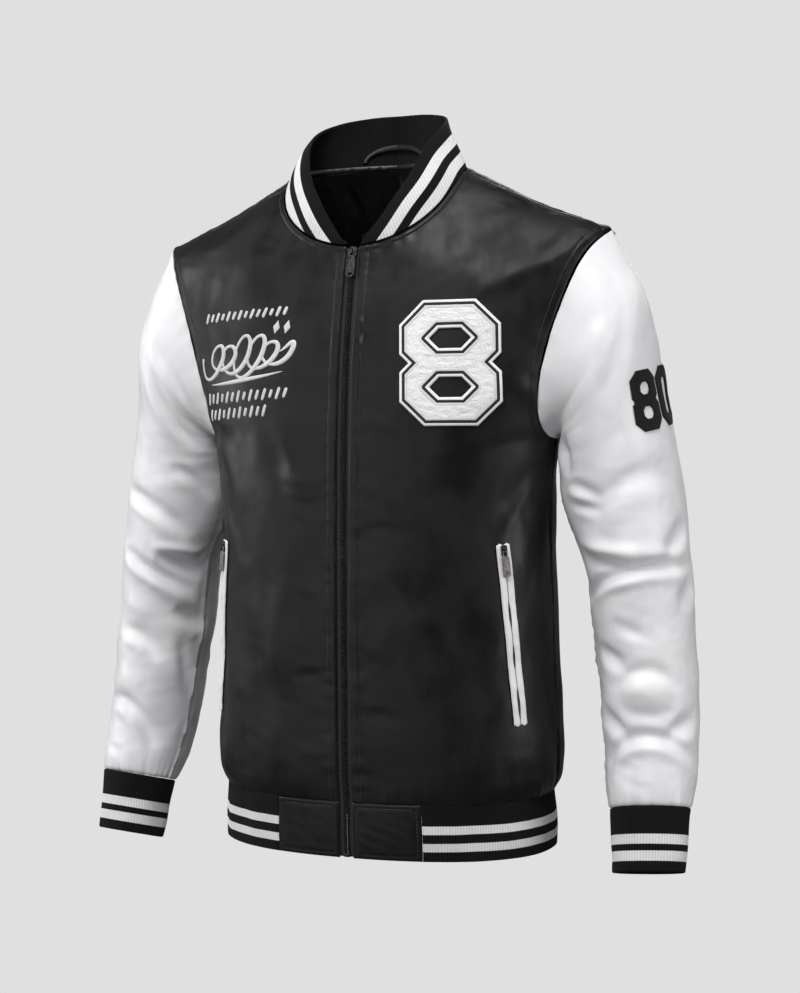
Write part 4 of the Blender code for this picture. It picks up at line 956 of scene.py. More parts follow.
def make_knit(name, node, grid, from_edge, finish, outwards=1, wraps=False, end_edge=None):
    """A knitted wall whose ribs rise on the grid's columns, with rounded crests and narrow valleys. Its inner
    side is plain black."""
    wave = np.sqrt(0.5 + 0.5 * np.cos(2 * math.pi * np.arange(grid.shape[1]) / POINTS_A_RIB))
    n = grid_normals(grid, wraps) * outwards
    edge = np.minimum(from_edge, (from_edge.max() - from_edge) + 0.0004)
    if end_edge is not None:
        edge = np.minimum(edge, end_edge)
    grid = grid + n * (RIB_DEEP * (wave - 1) * smooth(edge / 0.002))[..., None]
    past_stripes = np.ones(from_edge.size)
    # The crest profile is kept as the rib attribute, from which the finish paints shade into the valleys.
    ribs = np.broadcast_to(wave, from_edge.shape).ravel()
    values = {"from_edge": np.concatenate([from_edge.ravel(), past_stripes]), "rib": np.tile(ribs, 2)}
    look = (KNIT * 0.9, finish, "rib_knit")
    return make_wall(name, node, grid, *look, outwards, edge * 1.4, wraps=wraps, values=values, sharp=180)


def hem_ring(angle, up):
    """The hem band, a squared ellipse at each height: the angle is 0 in front and half a turn at the back."""
    depth = np.where(np.cos(angle) > 0, column(HEM, "front", up), column(HEM, "back", up))
    s, c = np.sin(angle), np.cos(angle)
    x = column(HEM, "half_width", up) * np.sign(s) * np.abs(s) ** (2 / SQUARENESS)
    y = -depth * np.sign(c) * np.abs(c) ** (2 / SQUARENESS)
    return np.stack(np.broadcast_arrays(x, y, up), axis=-1)


def hem_angle(x):
    """The angle at which the hem is x from the centre plane."""
    return math.asin((x / HEM_REACH) ** (SQUARENESS / 2))


def evenly(line_at, low, high, count):
    """Values of a line's parameter that part it into equal lengths."""
    dense = np.linspace(low, high, 3000)
    length = lengths_along(line_at(dense))
    return np.interp(np.linspace(0, length[-1], count), length, dense), length[-1]


tab_angle = hem_angle(TAB_END) + TAB_GAP
hem_up = np.array([0.0, 0.0007, 0.002, 0.006, 0.0096, 0.0104, 0.0176, 0.0184, 0.0262, 0.0270])
hem_up = np.concatenate([hem_up, [0.0342, 0.0350, 0.043, 0.051, 0.0538, RIB_TOP - 0.0001]])
hem_columns = POINTS_A_RIB * int(HEM_RIB_LONG / RIB_PITCH) + 1
round_hem = lambda a: hem_ring(a, 0.020 + 0 * a)
angle, hem_length = evenly(round_hem, tab_angle, 2 * math.pi - tab_angle, hem_columns)
grid = hem_ring(angle[None, :], hem_up[:, None])
swell = KNIT_SWELL * ripple(angle[None, :] * 0.17, 0.3 * hem_up[:, None], 90, 0.03, 0.09)
swell = swell * np.sin(math.pi * hem_up / RIB_TOP)[:, None]
grid = grid + grid_normals(grid) * swell[..., None]
from_edge = np.broadcast_to(hem_up[:, None], grid.shape[:2])
along_hem = np.linspace(0, hem_length, hem_columns)
end_edge = np.broadcast_to(np.minimum(along_hem, hem_length - along_hem), grid.shape[:2])
hem_knit = knit("hem_rib_knit_cloth", HEM_STRIPES)
piece = make_knit("hem_rib_knit", "hem_rib", grid, from_edge, hem_knit, end_edge=end_edge)

cuff_rows = np.concatenate([[0, 0.0007, 0.002], np.linspace(0.006, 0.0555, 16), [0.0580, 0.0593, 0.0600]])
round_cuff = lambda a: tilted_ring(rows_of(CUFF)[1], a)
cuff_angle, _ = evenly(round_cuff, 0, 2 * math.pi, CUFF_RIBS * POINTS_A_RIB + 1)
cuff_angle = cuff_angle[:-1]
cuff_knit = knit("cuff_rib_knit_cloth", CUFF_STRIPES)
for side_name, side in SIDES:
    rings = np.stack([tilted_ring(row, cuff_angle) for row in rows_of(CUFF)])
    grid = spline(CUFF["along"], rings.reshape(len(rings), -1), cuff_rows).reshape(len(cuff_rows), -1, 3)
    grid = grid * FLIP[side]
    from_edge = np.broadcast_to((CUFF["along"][-1] - cuff_rows)[:, None], grid.shape[:2])
    swell = CUFF_SWELL * ripple(cuff_angle[None, :] * 0.035, cuff_rows[:, None], 93 + side, 0.025, 0.060)
    swell = swell * np.sin(math.pi * cuff_rows / 0.06)[:, None]
    grid = grid + grid_normals(grid, True) * swell[..., None] * side
    node = "cuff_" + side_name
    piece = make_knit(node + "_knit", node, grid, from_edge, cuff_knit, side, wraps=True)

# The collar stands up from the neck seam and falls to nothing at the zip; its stripes follow its free edge.
COLLAR_TOP = columns(
    "x       y        up",
    (0.0115, -0.0740, 0.5955),
    (0.0250, -0.0700, 0.6130),
    (0.0385, -0.0640, 0.6340),
    (0.0510, -0.0560, 0.6545),
    (0.0620, -0.0400, 0.6830),
    (0.0680, -0.0180, 0.7010),
    (0.0670, 0.0060, 0.7130),
    (0.0560, 0.0310, 0.7220),
    (0.0300, 0.0460, 0.7270),
    (0.0000, 0.0500, 0.7280),
)
COLLAR_FOOT_GAP = 0.0012
COLLAR_BULGE = 0.0030
COLLAR_STRIPES = ((0.0120, 0.0220), (0.0300, 0.0400))
COLLAR_RIBS = 158
COLLAR_ROWS = 24


def both_sides(points):
    """A line on the wearer's left carried on, mirrored, to its end on the wearer's right."""
    return np.concatenate([points, points[-2::-1] * FLIP[-1]])


def neck_seam():
    """The neckline on the wearer's left, from the centre front over the shoulder to the centre back, eased
    where it turns the corner at the shoulder seam."""
    parts = []
    for face, start_x in ((FRONT, ZIP_HALF_OPENING), (BACK, 0.0)):
        across = np.linspace(0, 1, 4001)
        end = panel_end(across, start_x, face)
        points = torso_form(across_angle(across, end, start_x, face), end, face)
        points = points[points[:, 0] < NECK_HALF_WIDTH]
        parts.append(points if face == FRONT else points[::-1])
    line = np.concatenate(parts)
    points = places_at(np.linspace(0, 1, 61), share_along(line), line)
    for _ in range(5):
        points[1:-1] = (points[:-2] + 2 * points[1:-1] + points[2:]) / 4
    return points


def along_line(points, share):
    """Places along a line by their share of its length, splined."""
    return spline(share_along(points), points, np.atleast_1d(share))


seam_line = both_sides(neck_seam())
top_line = both_sides(np.stack([COLLAR_TOP["x"], COLLAR_TOP["y"], COLLAR_TOP["up"]], axis=1))


def collar_surface(share, rise):
    """The collar's outer side: straight lines from the neck seam to the free edge, bowed out a little."""
    foot, top = along_line(seam_line, share), along_line(top_line, share)
    tangent = unit(np.gradient(foot, axis=0))
    upwards = top - foot
    upwards = unit(upwards - tangent * (upwards * tangent).sum(axis=1, keepdims=True))
    foot = foot + upwards * COLLAR_FOOT_GAP
    grid = foot + (top - foot) * rise[:, None, None]
    from_end = np.minimum(share, 1 - share)
    ends = np.sin(math.pi * np.clip(from_end * 4, 0, 0.5))
    bulge = COLLAR_BULGE * np.sin(math.pi * rise)[:, None] * ends
    return grid + grid_normals(grid) * bulge[..., None]


collar_columns = POINTS_A_RIB * COLLAR_RIBS + 1
half_way_up = lambda s: (along_line(seam_line, s) + along_line(top_line, s)) / 2
middle_share, _ = evenly(half_way_up, 0, 1, collar_columns)
collar_rise = graded(COLLAR_ROWS, 1.5, 5.0)
grid = collar_surface(middle_share, collar_rise)
free_edge = distance_to(grid, grid[-1])[0]
ends = np.minimum(distance_to(grid, grid[:, 0])[0], distance_to(grid, grid[:, -1])[0])
swell = COLLAR_SWELL * ripple(middle_share[None, :] * 0.45, free_edge, 96, 0.04, 0.10)
swell = swell * np.sin(math.pi * collar_rise)[:, None]
grid = grid + grid_normals(grid) * swell[..., None]
collar_knit = knit("collar_rib_knit_cloth", COLLAR_STRIPES)
collar = make_knit("collar_knit", "collar", grid, free_edge, collar_knit, end_edge=ends)


# ---------------------------------------------------------------- neck binding and hanger loop
# A strip of black satin covers the neck seam inside, wrinkled along its length, and a narrow leather-grain
# loop for a coat hook is caught under it at the centre back.
BINDING_HIGH = 0.0056
BINDING_THICK = 0.0020
BINDING_SATIN = 0.0006
BINDING_SPAN = (0.30, 0.70)
BINDING_LONG = 0.150
LOOP_HALF_WIDTH = 0.0360
LOOP_RISE = 0.0200
LOOP_STRAP = 0.0060
LOOP_THICK = 0.0012
COLLAR_AT_BACK = 0.052

binding_share = np.linspace(*BINDING_SPAN, 150)
foot = along_line(seam_line, binding_share)
tangent = np.gradient(foot, axis=0)
inwards = unit(np.stack([-tangent[:, 1], tangent[:, 0], 0 * tangent[:, 0]], axis=1))
rows = np.linspace(-0.5, 0.5, 11)
rolled = np.sqrt(np.clip(1 - (2 * rows) ** 2, 0, 1))[:, None]
binding_m = share_along(foot) * BINDING_LONG
slanted = binding_m[None, :] + 0.35 * rows[:, None] * BINDING_HIGH
wrinkle = ripple(slanted, 0 * rolled, 99, 0.004, 0.012, count=10)
off = KNIT + BINDING_SATIN + (BINDING_THICK - BINDING_SATIN) * rolled * (1 + 0.25 * wrinkle)
upright = np.array([0.0, 0.0, 1.0])
grid = foot + inwards * off[..., None] + rows[:, None, None] * BINDING_HIGH * upright
binding = make_wall("neck_binding_satin", "neck_binding", grid, BINDING_SATIN, satin, "satin", -1)

turn = np.linspace(0, math.pi, 49)
seam_length = lengths_along(seam_line)[-1]
strap = []
for across_strap in np.linspace(-0.5, 0.5, 7):
    edge = across_strap * LOOP_STRAP
    along_seam = -(LOOP_HALF_WIDTH + edge) * np.cos(turn)
    rise = BINDING_HIGH / 2 + LOOP_STRAP / 2 + 0.0006 + (LOOP_RISE - LOOP_STRAP + edge) * np.sin(turn)
    share = 0.5 + along_seam / seam_length
    at_rise = rise / COLLAR_AT_BACK
    foot, top = along_line(seam_line, share), along_line(top_line, share)
    line = foot + (top - foot) * at_rise[:, None]
    radial = unit(line * np.array([1, 1, 0]) - np.array([0, -0.010, 0]))
    strap.append(line - radial * (KNIT + 0.0016 + 0.0003 * math.cos(math.pi * across_strap)))
grid = np.stack(strap)
up = lengths(grid)[1]
edge = np.minimum(up, up[-1] - up)
loop = make_wall(
    "hanger_loop_strap", "hanger_loop", grid, LOOP_THICK, black_leather, "black_leather", -1, edge
)


# ---------------------------------------------------------------- hem tabs
# In front the hem is two plain tabs of the same black coated cloth, padded a little and topstitched round
# their edges, one on each side of the zip.
TAB = 0.0024
TAB_STITCH = 0.0050
TAB_PADDING, TAB_WAVE = 0.00045, 0.00012

tab_edges = {}
for side_name, side in SIDES:
    tab_angles = np.linspace(hem_angle(ZIP_HALF_OPENING), hem_angle(TAB_END) - TAB_GAP, 56)
    grid = hem_ring(tab_angles[None, :], np.linspace(0, RIB_TOP - 0.0002, 44)[:, None]) * FLIP[side]
    across, up = lengths(grid)
    edge = np.minimum.reduce([across, across[:, -1:] - across, up, up[-1:] - up])
    wave = TAB_WAVE * ripple(across, up, 110 + side, 0.008, 0.030) * smooth(edge / 0.008)
    padded = TAB_PADDING * (smooth(edge / 0.0035) - bell(edge - TAB_STITCH, 0.0011))
    out = grid_normals(grid) * side
    grid = grid + out * (padded + wave)[..., None]
    node = "hem_tab_" + side_name
    piece = make_wall(node + "_cloth", node, grid, TAB, black_leather, "black_leather", side, edge)
    tab_edges[side] = (grid, out, edge)


# ---------------------------------------------------------------- front zip
# A metal zip with dark teeth runs from the hem to the neck between two woven tapes that lie deeper, in the
# gap between the fronts. Its slider is at the top, with a slotted pull tab that hangs down.
ZIP_TAPE_INSET = 0.0036
ZIP_TAPE_DEEP = 0.0008
ZIP_TAPE_REACH = (0.0001, 0.0137)
ZIP_SINK = 0.0008
ZIP_CHAIN_DEEP = 0.0022
ZIP_BOX = 0.0064
ZIP_BOX_DEEP = 0.0014
CHAIN_FOOT = 0.0050
CHAIN_TOP = 0.5755
METAL_VOXEL = 0.00022
TOOTH_PITCH = 0.00118
TOOTH = columns(
    "out     high     deep",
    (-0.0009, 0.00026, 0.00060),
    (-0.0003, 0.00047, 0.00095),
    (+0.0010, 0.00036, 0.00085),
    (+0.0022, 0.00050, 0.00108),
    (+0.0032, 0.00046, 0.00090),
)


def front_depth(up):
    """How far the centre front stands in front of the centre plane, on the hem and the body alike."""
    return np.where(up < RIB_TOP, column(HEM, "front", up), column(TORSO, "front", up))


def front_strip(x, up, inset):
    """A strip beside the centre front that lies an inset behind the cloth."""
    return np.stack(np.broadcast_arrays(x[None, :], inset - front_depth(up[:, None]), up[:, None]), axis=-1)


def closed_shape(rings):
    """The quads of a closed shape through rings with the same even number of points."""
    stations, count = rings.shape[:2]
    k = np.arange(count // 2 - 1)
    cap = np.stack([k, k + 1, count - 2 - k, count - 1 - k], axis=-1)
    return np.concatenate([grid_quads(stations, count, True), cap[:, ::-1], cap + (stations - 1) * count])


def ring_points(ring, wide, deep, at):
    """A flat ring of points at a width and a depth, moved along its axis."""
    return np.stack([wide * ring[:, 0], deep * ring[:, 1], 0 * ring[:, 0] + at], axis=-1)


def repeated(rings, centres, axes):
    """Copies of a small closed shape, one at each centre, its three directions along that place's axes."""
    shape, faces = rings.reshape(-1, 3), closed_shape(rings)
    points = np.einsum("pk,nkc->npc", shape, axes) + centres[:, None, :]
    shift = np.arange(len(centres))[:, None, None] * len(shape)
    return points.reshape(-1, 3), (faces + shift).reshape(-1, 4)


def woven_tape(name):
    """Black herringbone tape: fine ribs that slant one way and then the other, with painted shade that
    darkens the grooves between them.
    """
    made, start = start_finish(name, sheen_weight=0.3, sheen_roughness=0.5)
    turn = (start.cloth_place(0) * (2 * math.pi / 0.0030)).math("SINE").math("ARCSINE")
    rib = (start.cloth_place(1) * (2 * math.pi / 0.0007) + turn * 2.2).waves()
    lint = start.noise(start.object_place(), 1400)
    # Painted shade: the colour follows the ribs' bump and is darker in the grooves.
    color = (rib * 0.7 + lint * 0.3).mix((0.006, 0.006, 0.0065, 1), (0.030, 0.029, 0.029, 1))
    return dress(made, color, lint * 0.1 + 0.78, rib, depth=0.00015)


def worn_metal(name, dark, light, rough_low, rough_high):
    """Plated metal, a little duller and rubbed in patches, with faint casting marks."""
    made, start = start_finish(name, metallic=1.0)
    place = start.object_place()
    rubbed = start.noise(place, 420, detail=3.0).band(0.35, 0.65)
    fine = start.noise(place, 3000, detail=1.0)
    rough = rubbed * (rough_high - rough_low) + rough_low + fine * 0.06
    return dress(made, rubbed.mix(dark, light), rough, fine * 0.3 + rubbed * 0.5, depth=0.00002, strength=0.3)


zip_tape = woven_tape("herringbone_tape")
dark_metal = worn_metal("dark_plated_metal", (0.035, 0.035, 0.037, 1), (0.085, 0.082, 0.080, 1), 0.34, 0.50)
steel = worn_metal("bright_plated_metal", (0.25, 0.232, 0.232, 1), (0.34, 0.315, 0.312, 1), 0.34, 0.44)

tape_up = np.linspace(0.001, NECK_FRONT_UP - 0.002, 150)
for side_name, side in SIDES:
    grid = front_strip(side * np.linspace(*ZIP_TAPE_REACH, 14), tape_up, ZIP_TAPE_INSET)
    reach = np.abs(grid[..., 0])
    edge = np.minimum(reach - ZIP_TAPE_REACH[0], ZIP_TAPE_REACH[1] - reach)
    node = "zip_tape_" + side_name
    piece = make_wall(node + "_weave", node, grid, ZIP_TAPE_DEEP, zip_tape, "zip_tape", side, edge)

turns = np.linspace(0, 2 * math.pi, 8, endpoint=False) + math.pi / 8
corner = np.stack([np.cos(turns), np.sin(turns)], axis=-1)
corner = corner / np.abs(corner).max(axis=1, keepdims=True) ** 0.75
rings = np.stack([ring_points(corner, row["high"], row["deep"], row["out"]) for row in rows_of(TOOTH)])
tooth_up = np.arange(CHAIN_FOOT + 0.0006, CHAIN_TOP, TOOTH_PITCH)
tooth_side = np.where(np.arange(len(tooth_up)) % 2 == 0, 1.0, -1.0)
middle_y = ZIP_SINK + ZIP_CHAIN_DEEP / 2 - front_depth(tooth_up)
centres = np.stack([0 * tooth_up, middle_y, tooth_up], axis=-1)
zero, one = 0 * tooth_up, 0 * tooth_up + 1
axes = np.array([[zero, zero, one], [zero, -tooth_side, zero], [tooth_side, zero, zero]]).transpose(2, 0, 1)
make_piece("zip_teeth", *repeated(rings, centres, axes), dark_metal, "dark_metal", "zip_chain")

box_rings = []
for up, share in ((0.0010, 0.82), (0.0013, 1.0), (0.0043, 1.0), (0.0047, 0.86)):
    middle_y = ZIP_SINK - 0.0004 + ZIP_BOX_DEEP - float(front_depth(np.array(up)))
    ring = ring_points(corner, ZIP_BOX / 2 * share, ZIP_BOX_DEEP * share, up)
    box_rings.append(ring + np.array([0, middle_y, 0]))
rings = np.stack(box_rings)
make_piece("zip_end_box", rings.reshape(-1, 3), closed_shape(rings), dark_metal, "dark_metal", "zip_box")


def rounded_metal(node, body, finish):
    """A carried-over metal part with soft edges: a merged copy is remeshed finely, smoothed and thinned."""
    source = bpy.data.objects[node]
    shape = bmesh.new()
    shape.from_mesh(source.data)
    shape.transform(source.matrix_world)
    bmesh.ops.remove_doubles(shape, verts=shape.verts, dist=1e-6)
    rough = bpy.data.meshes.new(node + "_rough")
    shape.to_mesh(rough)
    shape.free()
    carrier = show(node + "_carrier", rough)
    remesh = carrier.modifiers.new("remesh", "REMESH")
    remesh.mode, remesh.voxel_size = "VOXEL", METAL_VOXEL
    soften = carrier.modifiers.new("soften", "SMOOTH")
    soften.factor, soften.iterations = 0.5, 3
    carrier.modifiers.new("thin", "DECIMATE").ratio = 0.30
    mesh = bpy.data.meshes.new_from_object(carrier.evaluated_get(bpy.context.evaluated_depsgraph_get()))
    bpy.data.objects.remove(carrier)
    mesh.materials.clear()
    mesh.materials.append(finish)
    mesh.shade_smooth()
    mesh.set_sharp_from_angle(angle=math.radians(60))
    made = show(node + "_metal", mesh)
    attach(made, body)
    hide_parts(node)


rounded_metal("front_slider", "root", dark_metal)
rounded_metal("front_pull", "front_pull", dark_metal)
for side_name, side in SIDES:
    rounded_metal("pocket_slider_" + side_name, "root", dark_metal)
    rounded_metal("pocket_pull_" + side_name, "pocket_pull_" + side_name, steel)


# ---------------------------------------------------------------- pockets
# Each slanting pocket has two narrow white lips that nearly meet, with three slim gaps where its dark zip
# shows, and white topstitching along their outer edges.
POCKET_TOP = (0.1436, 0.3020)
POCKET_FOOT = (0.1630, 0.1280)
POCKET_OUT = (0.62, -0.78)
LIP_WIDTH = 0.0060
LIP_THICK = 0.0016
LIP_END = 0.0022
LIP_PLUMP, LIP_WAVE = 0.0005, 0.00012
LIP_STITCH = 0.0011
POCKET_SLIT, LEAST_SLIT = 0.0024, 0.00016
POCKET_ZIP_HALF, POCKET_ZIP_THICK = 0.0016, 0.0004
LAY_GAP = 0.0005
POCKET_GAPS = columns(
    "middle  half_long  half_wide",
    (0.390, 0.075, 0.00095),
    (0.625, 0.072, 0.00085),
    (0.880, 0.092, 0.00105),
)


def found(form, measure, wanted, start):
    """The two parameters at which a surface measures the wanted pair of values, by Newton's steps."""
    a, b = start
    for _ in range(10):
        now = np.array(measure(form(a, b)))
        by_a = (np.array(measure(form(a + 1e-4, b))) - now) / 1e-4
        by_b = (np.array(measure(form(a, b + 1e-4))) - now) / 1e-4
        missing = np.array(wanted) - now
        area = by_a[0] * by_b[1] - by_a[1] * by_b[0]
        a = a + np.clip((missing[0] * by_b[1] - missing[1] * by_b[0]) / area, -0.2, 0.2)
        b = b + np.clip((by_a[0] * missing[1] - by_a[1] * missing[0]) / area, -0.05, 0.05)
    return a, b


def laid(flat_x, flat_y, lift, side, centre, outwards, upwards=(0, 0, 1)):
    """Lays flat points on a front. They are held square to outwards, with their middle at centre, given as
    x and height, and pushed straight onto the cloth; lift is along the cloth's own normals."""
    form = lambda angle, up: torso_form(angle, up, FRONT) * FLIP[side]
    seen = lambda p: (p[..., 0], p[..., 2])
    middle = form(*found(form, seen, centre, (np.array(0.9), np.array(centre[1]))))
    out = unit(np.array(outwards, float))
    across = unit(np.cross(upwards, out))
    up = np.cross(out, across)
    measure = lambda p: ((p - middle) @ across, (p - middle) @ up)
    start = 0 * flat_x + 0.9, 0 * flat_x + centre[1] + flat_y
    angle, height = found(form, measure, (flat_x, flat_y), start)
    points, n = torso(angle, height, FRONT, side)
    return points + n * (0 * flat_x + lift)[..., None], n


lip_lines = []
for side_name, side in SIDES:
    middle = [(POCKET_TOP[k] + POCKET_FOOT[k]) / 2 * (side, 1)[k] for k in (0, 1)]
    upwards = (side * (POCKET_TOP[0] - POCKET_FOOT[0]), 0, POCKET_TOP[1] - POCKET_FOOT[1])
    long = math.hypot(upwards[0], upwards[2])
    outwards = (side * POCKET_OUT[0], POCKET_OUT[1], 0)
    place = (side, middle, outwards, upwards)
    share = np.linspace(0, 1, 110)[:, None]
    gap = LEAST_SLIT + 0 * share
    for row in rows_of(POCKET_GAPS):
        lens = np.clip(1 - ((1 - share - row["middle"]) / row["half_long"]) ** 2, 0, 1)
        gap = gap + row["half_wide"] * lens
    past = np.clip(np.abs(2 * share - 1) * long / 2 - (long / 2 - LIP_END), 0, LIP_END) / LIP_END
    ends = np.sqrt(1 - past**2)
    for lip_name, sign in (("front", -side), ("rear", side)):
        width_share = np.linspace(0, 1, 12)[None, :]
        if sign < 0:
            width_share = width_share[:, ::-1]
        reach = POCKET_SLIT / 2 + LIP_WIDTH
        inner = gap + (reach / 2 - gap) * (1 - ends)
        outer = reach - reach / 2 * (1 - ends)
        x = sign * (inner + (outer - inner) * width_share)
        y = (share - 0.5) * long + 0 * x
        from_side = np.minimum(width_share, 1 - width_share) * (outer - inner)
        edge = np.minimum(from_side, np.minimum(share, 1 - share) * long)
        wave = LIP_WAVE * ripple(0 * x, y, 120 + side + 3 * sign, 0.006, 0.02)
        lift = LAY_GAP + LIP_THICK + LIP_PLUMP * smooth(edge / 0.0022) + wave
        grid = laid(x, y, lift, *place)[0]
        node = f"pocket_lip_{lip_name}_{side_name}"
        piece = make_wall(node + "_cloth", node, grid, LIP_THICK, white_leather, "white_leather", edge=edge)
        stitch_y = np.linspace(-long / 2 + 0.002, long / 2 - 0.002, 200)
        stitch_x = 0 * stitch_y + sign * (reach - LIP_STITCH)
        lip_lines.append(laid(stitch_x, stitch_y, LAY_GAP + LIP_THICK + 0.0002, *place))
    x = np.linspace(-POCKET_ZIP_HALF, POCKET_ZIP_HALF, 5)[None, :] + 0 * share
    y = (share - 0.5) * (long - 0.003) + 0 * x
    grid = laid(x, y, LAY_GAP + POCKET_ZIP_THICK, *place)[0]
    node = "pocket_zip_" + side_name
    piece = make_wall(node + "_weave", node, grid, POCKET_ZIP_THICK, zip_tape, "zip_tape")


# ---------------------------------------------------------------- chest patch and sleeve number
# The chest patch is a block figure in layered felt: a white base, a black line, a satin-stitched border and
# an off-white pile face. The sleeve's number is two smaller black block figures that wrap round the arm.
PATCH_CENTRE = (0.1045, 0.4732)
PATCH_SIZE, PATCH_AREA = (0.0960, 0.1190), 0.0086
PATCH_STROKE = 0.0270
PATCH_THICK = 0.0022
PATCH_GAP = 0.0008
PATCH_CELL = 0.00085
PATCH_LAYERS = (0.0026, 0.0054, 0.0077)
BORDER_RISE, PILE_RISE, PILE_WAVE = 0.00050, 0.00035, 0.00025
DIGIT_UP = 0.4339
DIGIT_SIZE, DIGIT_AREA = (0.0365, 0.0580), 0.00145
DIGIT_STROKE = 0.0115
DIGIT_SPACE = 0.0035
DIGIT_MIDDLE = math.radians(12)
DIGIT_THICK = 0.0010
DIGIT_GAP = 0.0006
DIGIT_EDGE_RISE = 0.00025
DIGIT_CELL = 0.0008
SLEEVE_AXIS = np.array([[0.2260, 0.0090, 0.4690], [0.2400, 0.0230, 0.3450]])
WRAP_RADIUS = 0.0560


def cut_corners(x, y, width, height, corner):
    """How deep a place lies inside a rectangle with its corners cut off, negative outside."""
    x, y = np.abs(x), np.abs(y)
    slanted = ((width + height) / 2 - corner - x - y) / math.sqrt(2)
    return np.minimum(np.minimum(width / 2 - x, height / 2 - y), slanted)


def block_eight(x, y, width, height, stroke):
    """How deep a place lies inside a block figure eight with a notched waist and two counters."""
    body = cut_corners(x, y, width, height, width * 0.24)
    waist = (width / 2 - width * 0.09 + np.abs(y) - np.abs(x)) / math.sqrt(2)
    inner_width, inner_height = width - 2 * stroke, (height - 3 * stroke) / 2
    from_counter = np.abs(y) - (stroke + inner_height) / 2
    counter = cut_corners(x, from_counter, inner_width, inner_height, inner_width * 0.25)
    return np.minimum(np.minimum(body, waist), -counter)


def block_nought(x, y, width, height, stroke):
    """How deep a place lies inside a block nought."""
    body = cut_corners(x, y, width, height, width * 0.28)
    inner_width = width - 2 * stroke
    return np.minimum(body, -cut_corners(x, y, inner_width, height - 2 * stroke, inner_width * 0.2))


def trimmed_grid(figure, size, stroke, cell):
    """A flat grid of squares trimmed to a figure: squares that reach into it stay, and their outer corners
    move onto its outline. Gives the points, their depth inside, the quads and the outline's edges."""
    width, height = size
    depth_in = lambda x, y: figure(x, y, width, height, stroke)
    xs = np.arange(-width / 2 - cell, width / 2 + 2 * cell, cell)
    ys = np.arange(-height / 2 - cell, height / 2 + 2 * cell, cell)
    x, y = np.meshgrid(xs, ys)
    step = cell * 0.05
    depth = depth_in(x, y)
    within = depth > 0.2 * cell
    kept = within[:-1, :-1] | within[:-1, 1:] | within[1:, :-1] | within[1:, 1:]
    for _ in range(3):
        outside = depth < 0.2 * cell
        slope_x = (depth_in(x + step, y) - depth_in(x - step, y)) / (2 * step)
        slope_y = (depth_in(x, y + step) - depth_in(x, y - step)) / (2 * step)
        steep = np.maximum(slope_x**2 + slope_y**2, 0.2)
        x = np.where(outside, x - depth * slope_x / steep, x)
        y = np.where(outside, y - depth * slope_y / steep, y)
        depth = np.where(outside, depth_in(x, y), depth)
        depth = np.where(np.abs(depth) < 1e-7, 0, depth)
    at = np.arange(x.size).reshape(x.shape)
    a, b, c, d = at[:-1, :-1], at[:-1, 1:], at[1:, 1:], at[1:, :-1]
    quads = np.stack([a, b, c, d], axis=-1)[kept]
    around = np.pad(kept, 1)
    rim = []
    neighbours = (around[:-2, 1:-1], around[1:-1, 2:], around[2:, 1:-1], around[1:-1, :-2])
    for first, second, beyond in zip((a, b, c, d), (b, c, d, a), neighbours):
        alone = kept & ~beyond
        rim.append(np.stack([first[alone], second[alone]], axis=-1))
    used, quads = np.unique(quads, return_inverse=True)
    rim = np.searchsorted(used, np.concatenate(rim))
    return x.ravel()[used], y.ravel()[used], np.maximum(depth.ravel()[used], 0), quads.reshape(-1, 4), rim


def make_plate(node, flat, place, thickness, gap, relief, finish, slot):
    """A thick felt piece on the cloth from a trimmed grid: place puts flat points at a lift, and relief is
    how far its face rises above its thickness."""
    x, y, depth, quads, rim = flat
    face = place(x, y, gap + thickness + relief - edge_rounding(depth, thickness))
    back = place(x, y, gap + 0 * x)
    far = len(x)
    edge = np.stack([rim[:, 0], far + rim[:, 0], far + rim[:, 1], rim[:, 1]], axis=-1)
    faces = np.concatenate([quads, far + quads[:, ::-1], edge])
    points = np.concatenate([face, back])
    uv = np.tile(np.stack([x, y], axis=-1), (2, 1))
    return make_piece(node + "_felt", points, faces, finish, slot, node, uv, {"inset": np.tile(depth, 2)})


def front_out(angle, up, side):
    """The way out of the smooth front at one place on it."""
    form = lambda a, u: torso_form(a, u, FRONT)
    return normal_between(form, np.array(angle), np.array(up), 0.02, 0.002) * FLIP[side]


def layered_felt(name):
    """The patch's layers by their distance from its outline, each with its own nap; the satin-stitched border
    and the pile carry painted shade in their grooves and hollows.
    """
    made, start = start_finish(name, sheen_weight=0.35, sheen_roughness=0.5, specular_ior_level=0.3)
    inset = start.attribute("inset")
    line, border, pile = (inset.band(at - 0.0001, at + 0.0001) for at in PATCH_LAYERS)
    tufts = start.cells(start.object_place(), 620)
    nap = start.noise(start.object_place(), 1500, detail=3.0)
    thread = (start.cloth_place(0) * 7600.0 + start.cloth_place(1) * 5200.0).waves()
    white = nap.mix((0.80, 0.80, 0.81, 1), (0.93, 0.93, 0.935, 1))
    dark = nap.mix((0.006, 0.006, 0.006, 1), (0.022, 0.021, 0.021, 1))
    # Painted shade: the border thread is greyer in the grooves between stitches, and the pile is greyer
    # towards the edges of its tufts, where the bump is lowest.
    stitched = thread.mix((0.66, 0.66, 0.68, 1), (0.90, 0.90, 0.905, 1))
    tufted_shaded = (tufts * 0.9 + nap * 0.35 - 0.15).mix((0.95, 0.945, 0.935, 1), (0.72, 0.715, 0.705, 1))
    color = pile.mix(border.mix(line.mix(white, dark), stitched), tufted_shaded)
    height = nap * 0.4 + thread * (border - pile) * 0.5 - tufts * 1.4 * pile
    return dress(made, color, nap * 0.15 + 0.72, height, depth=0.00045, strength=0.8)


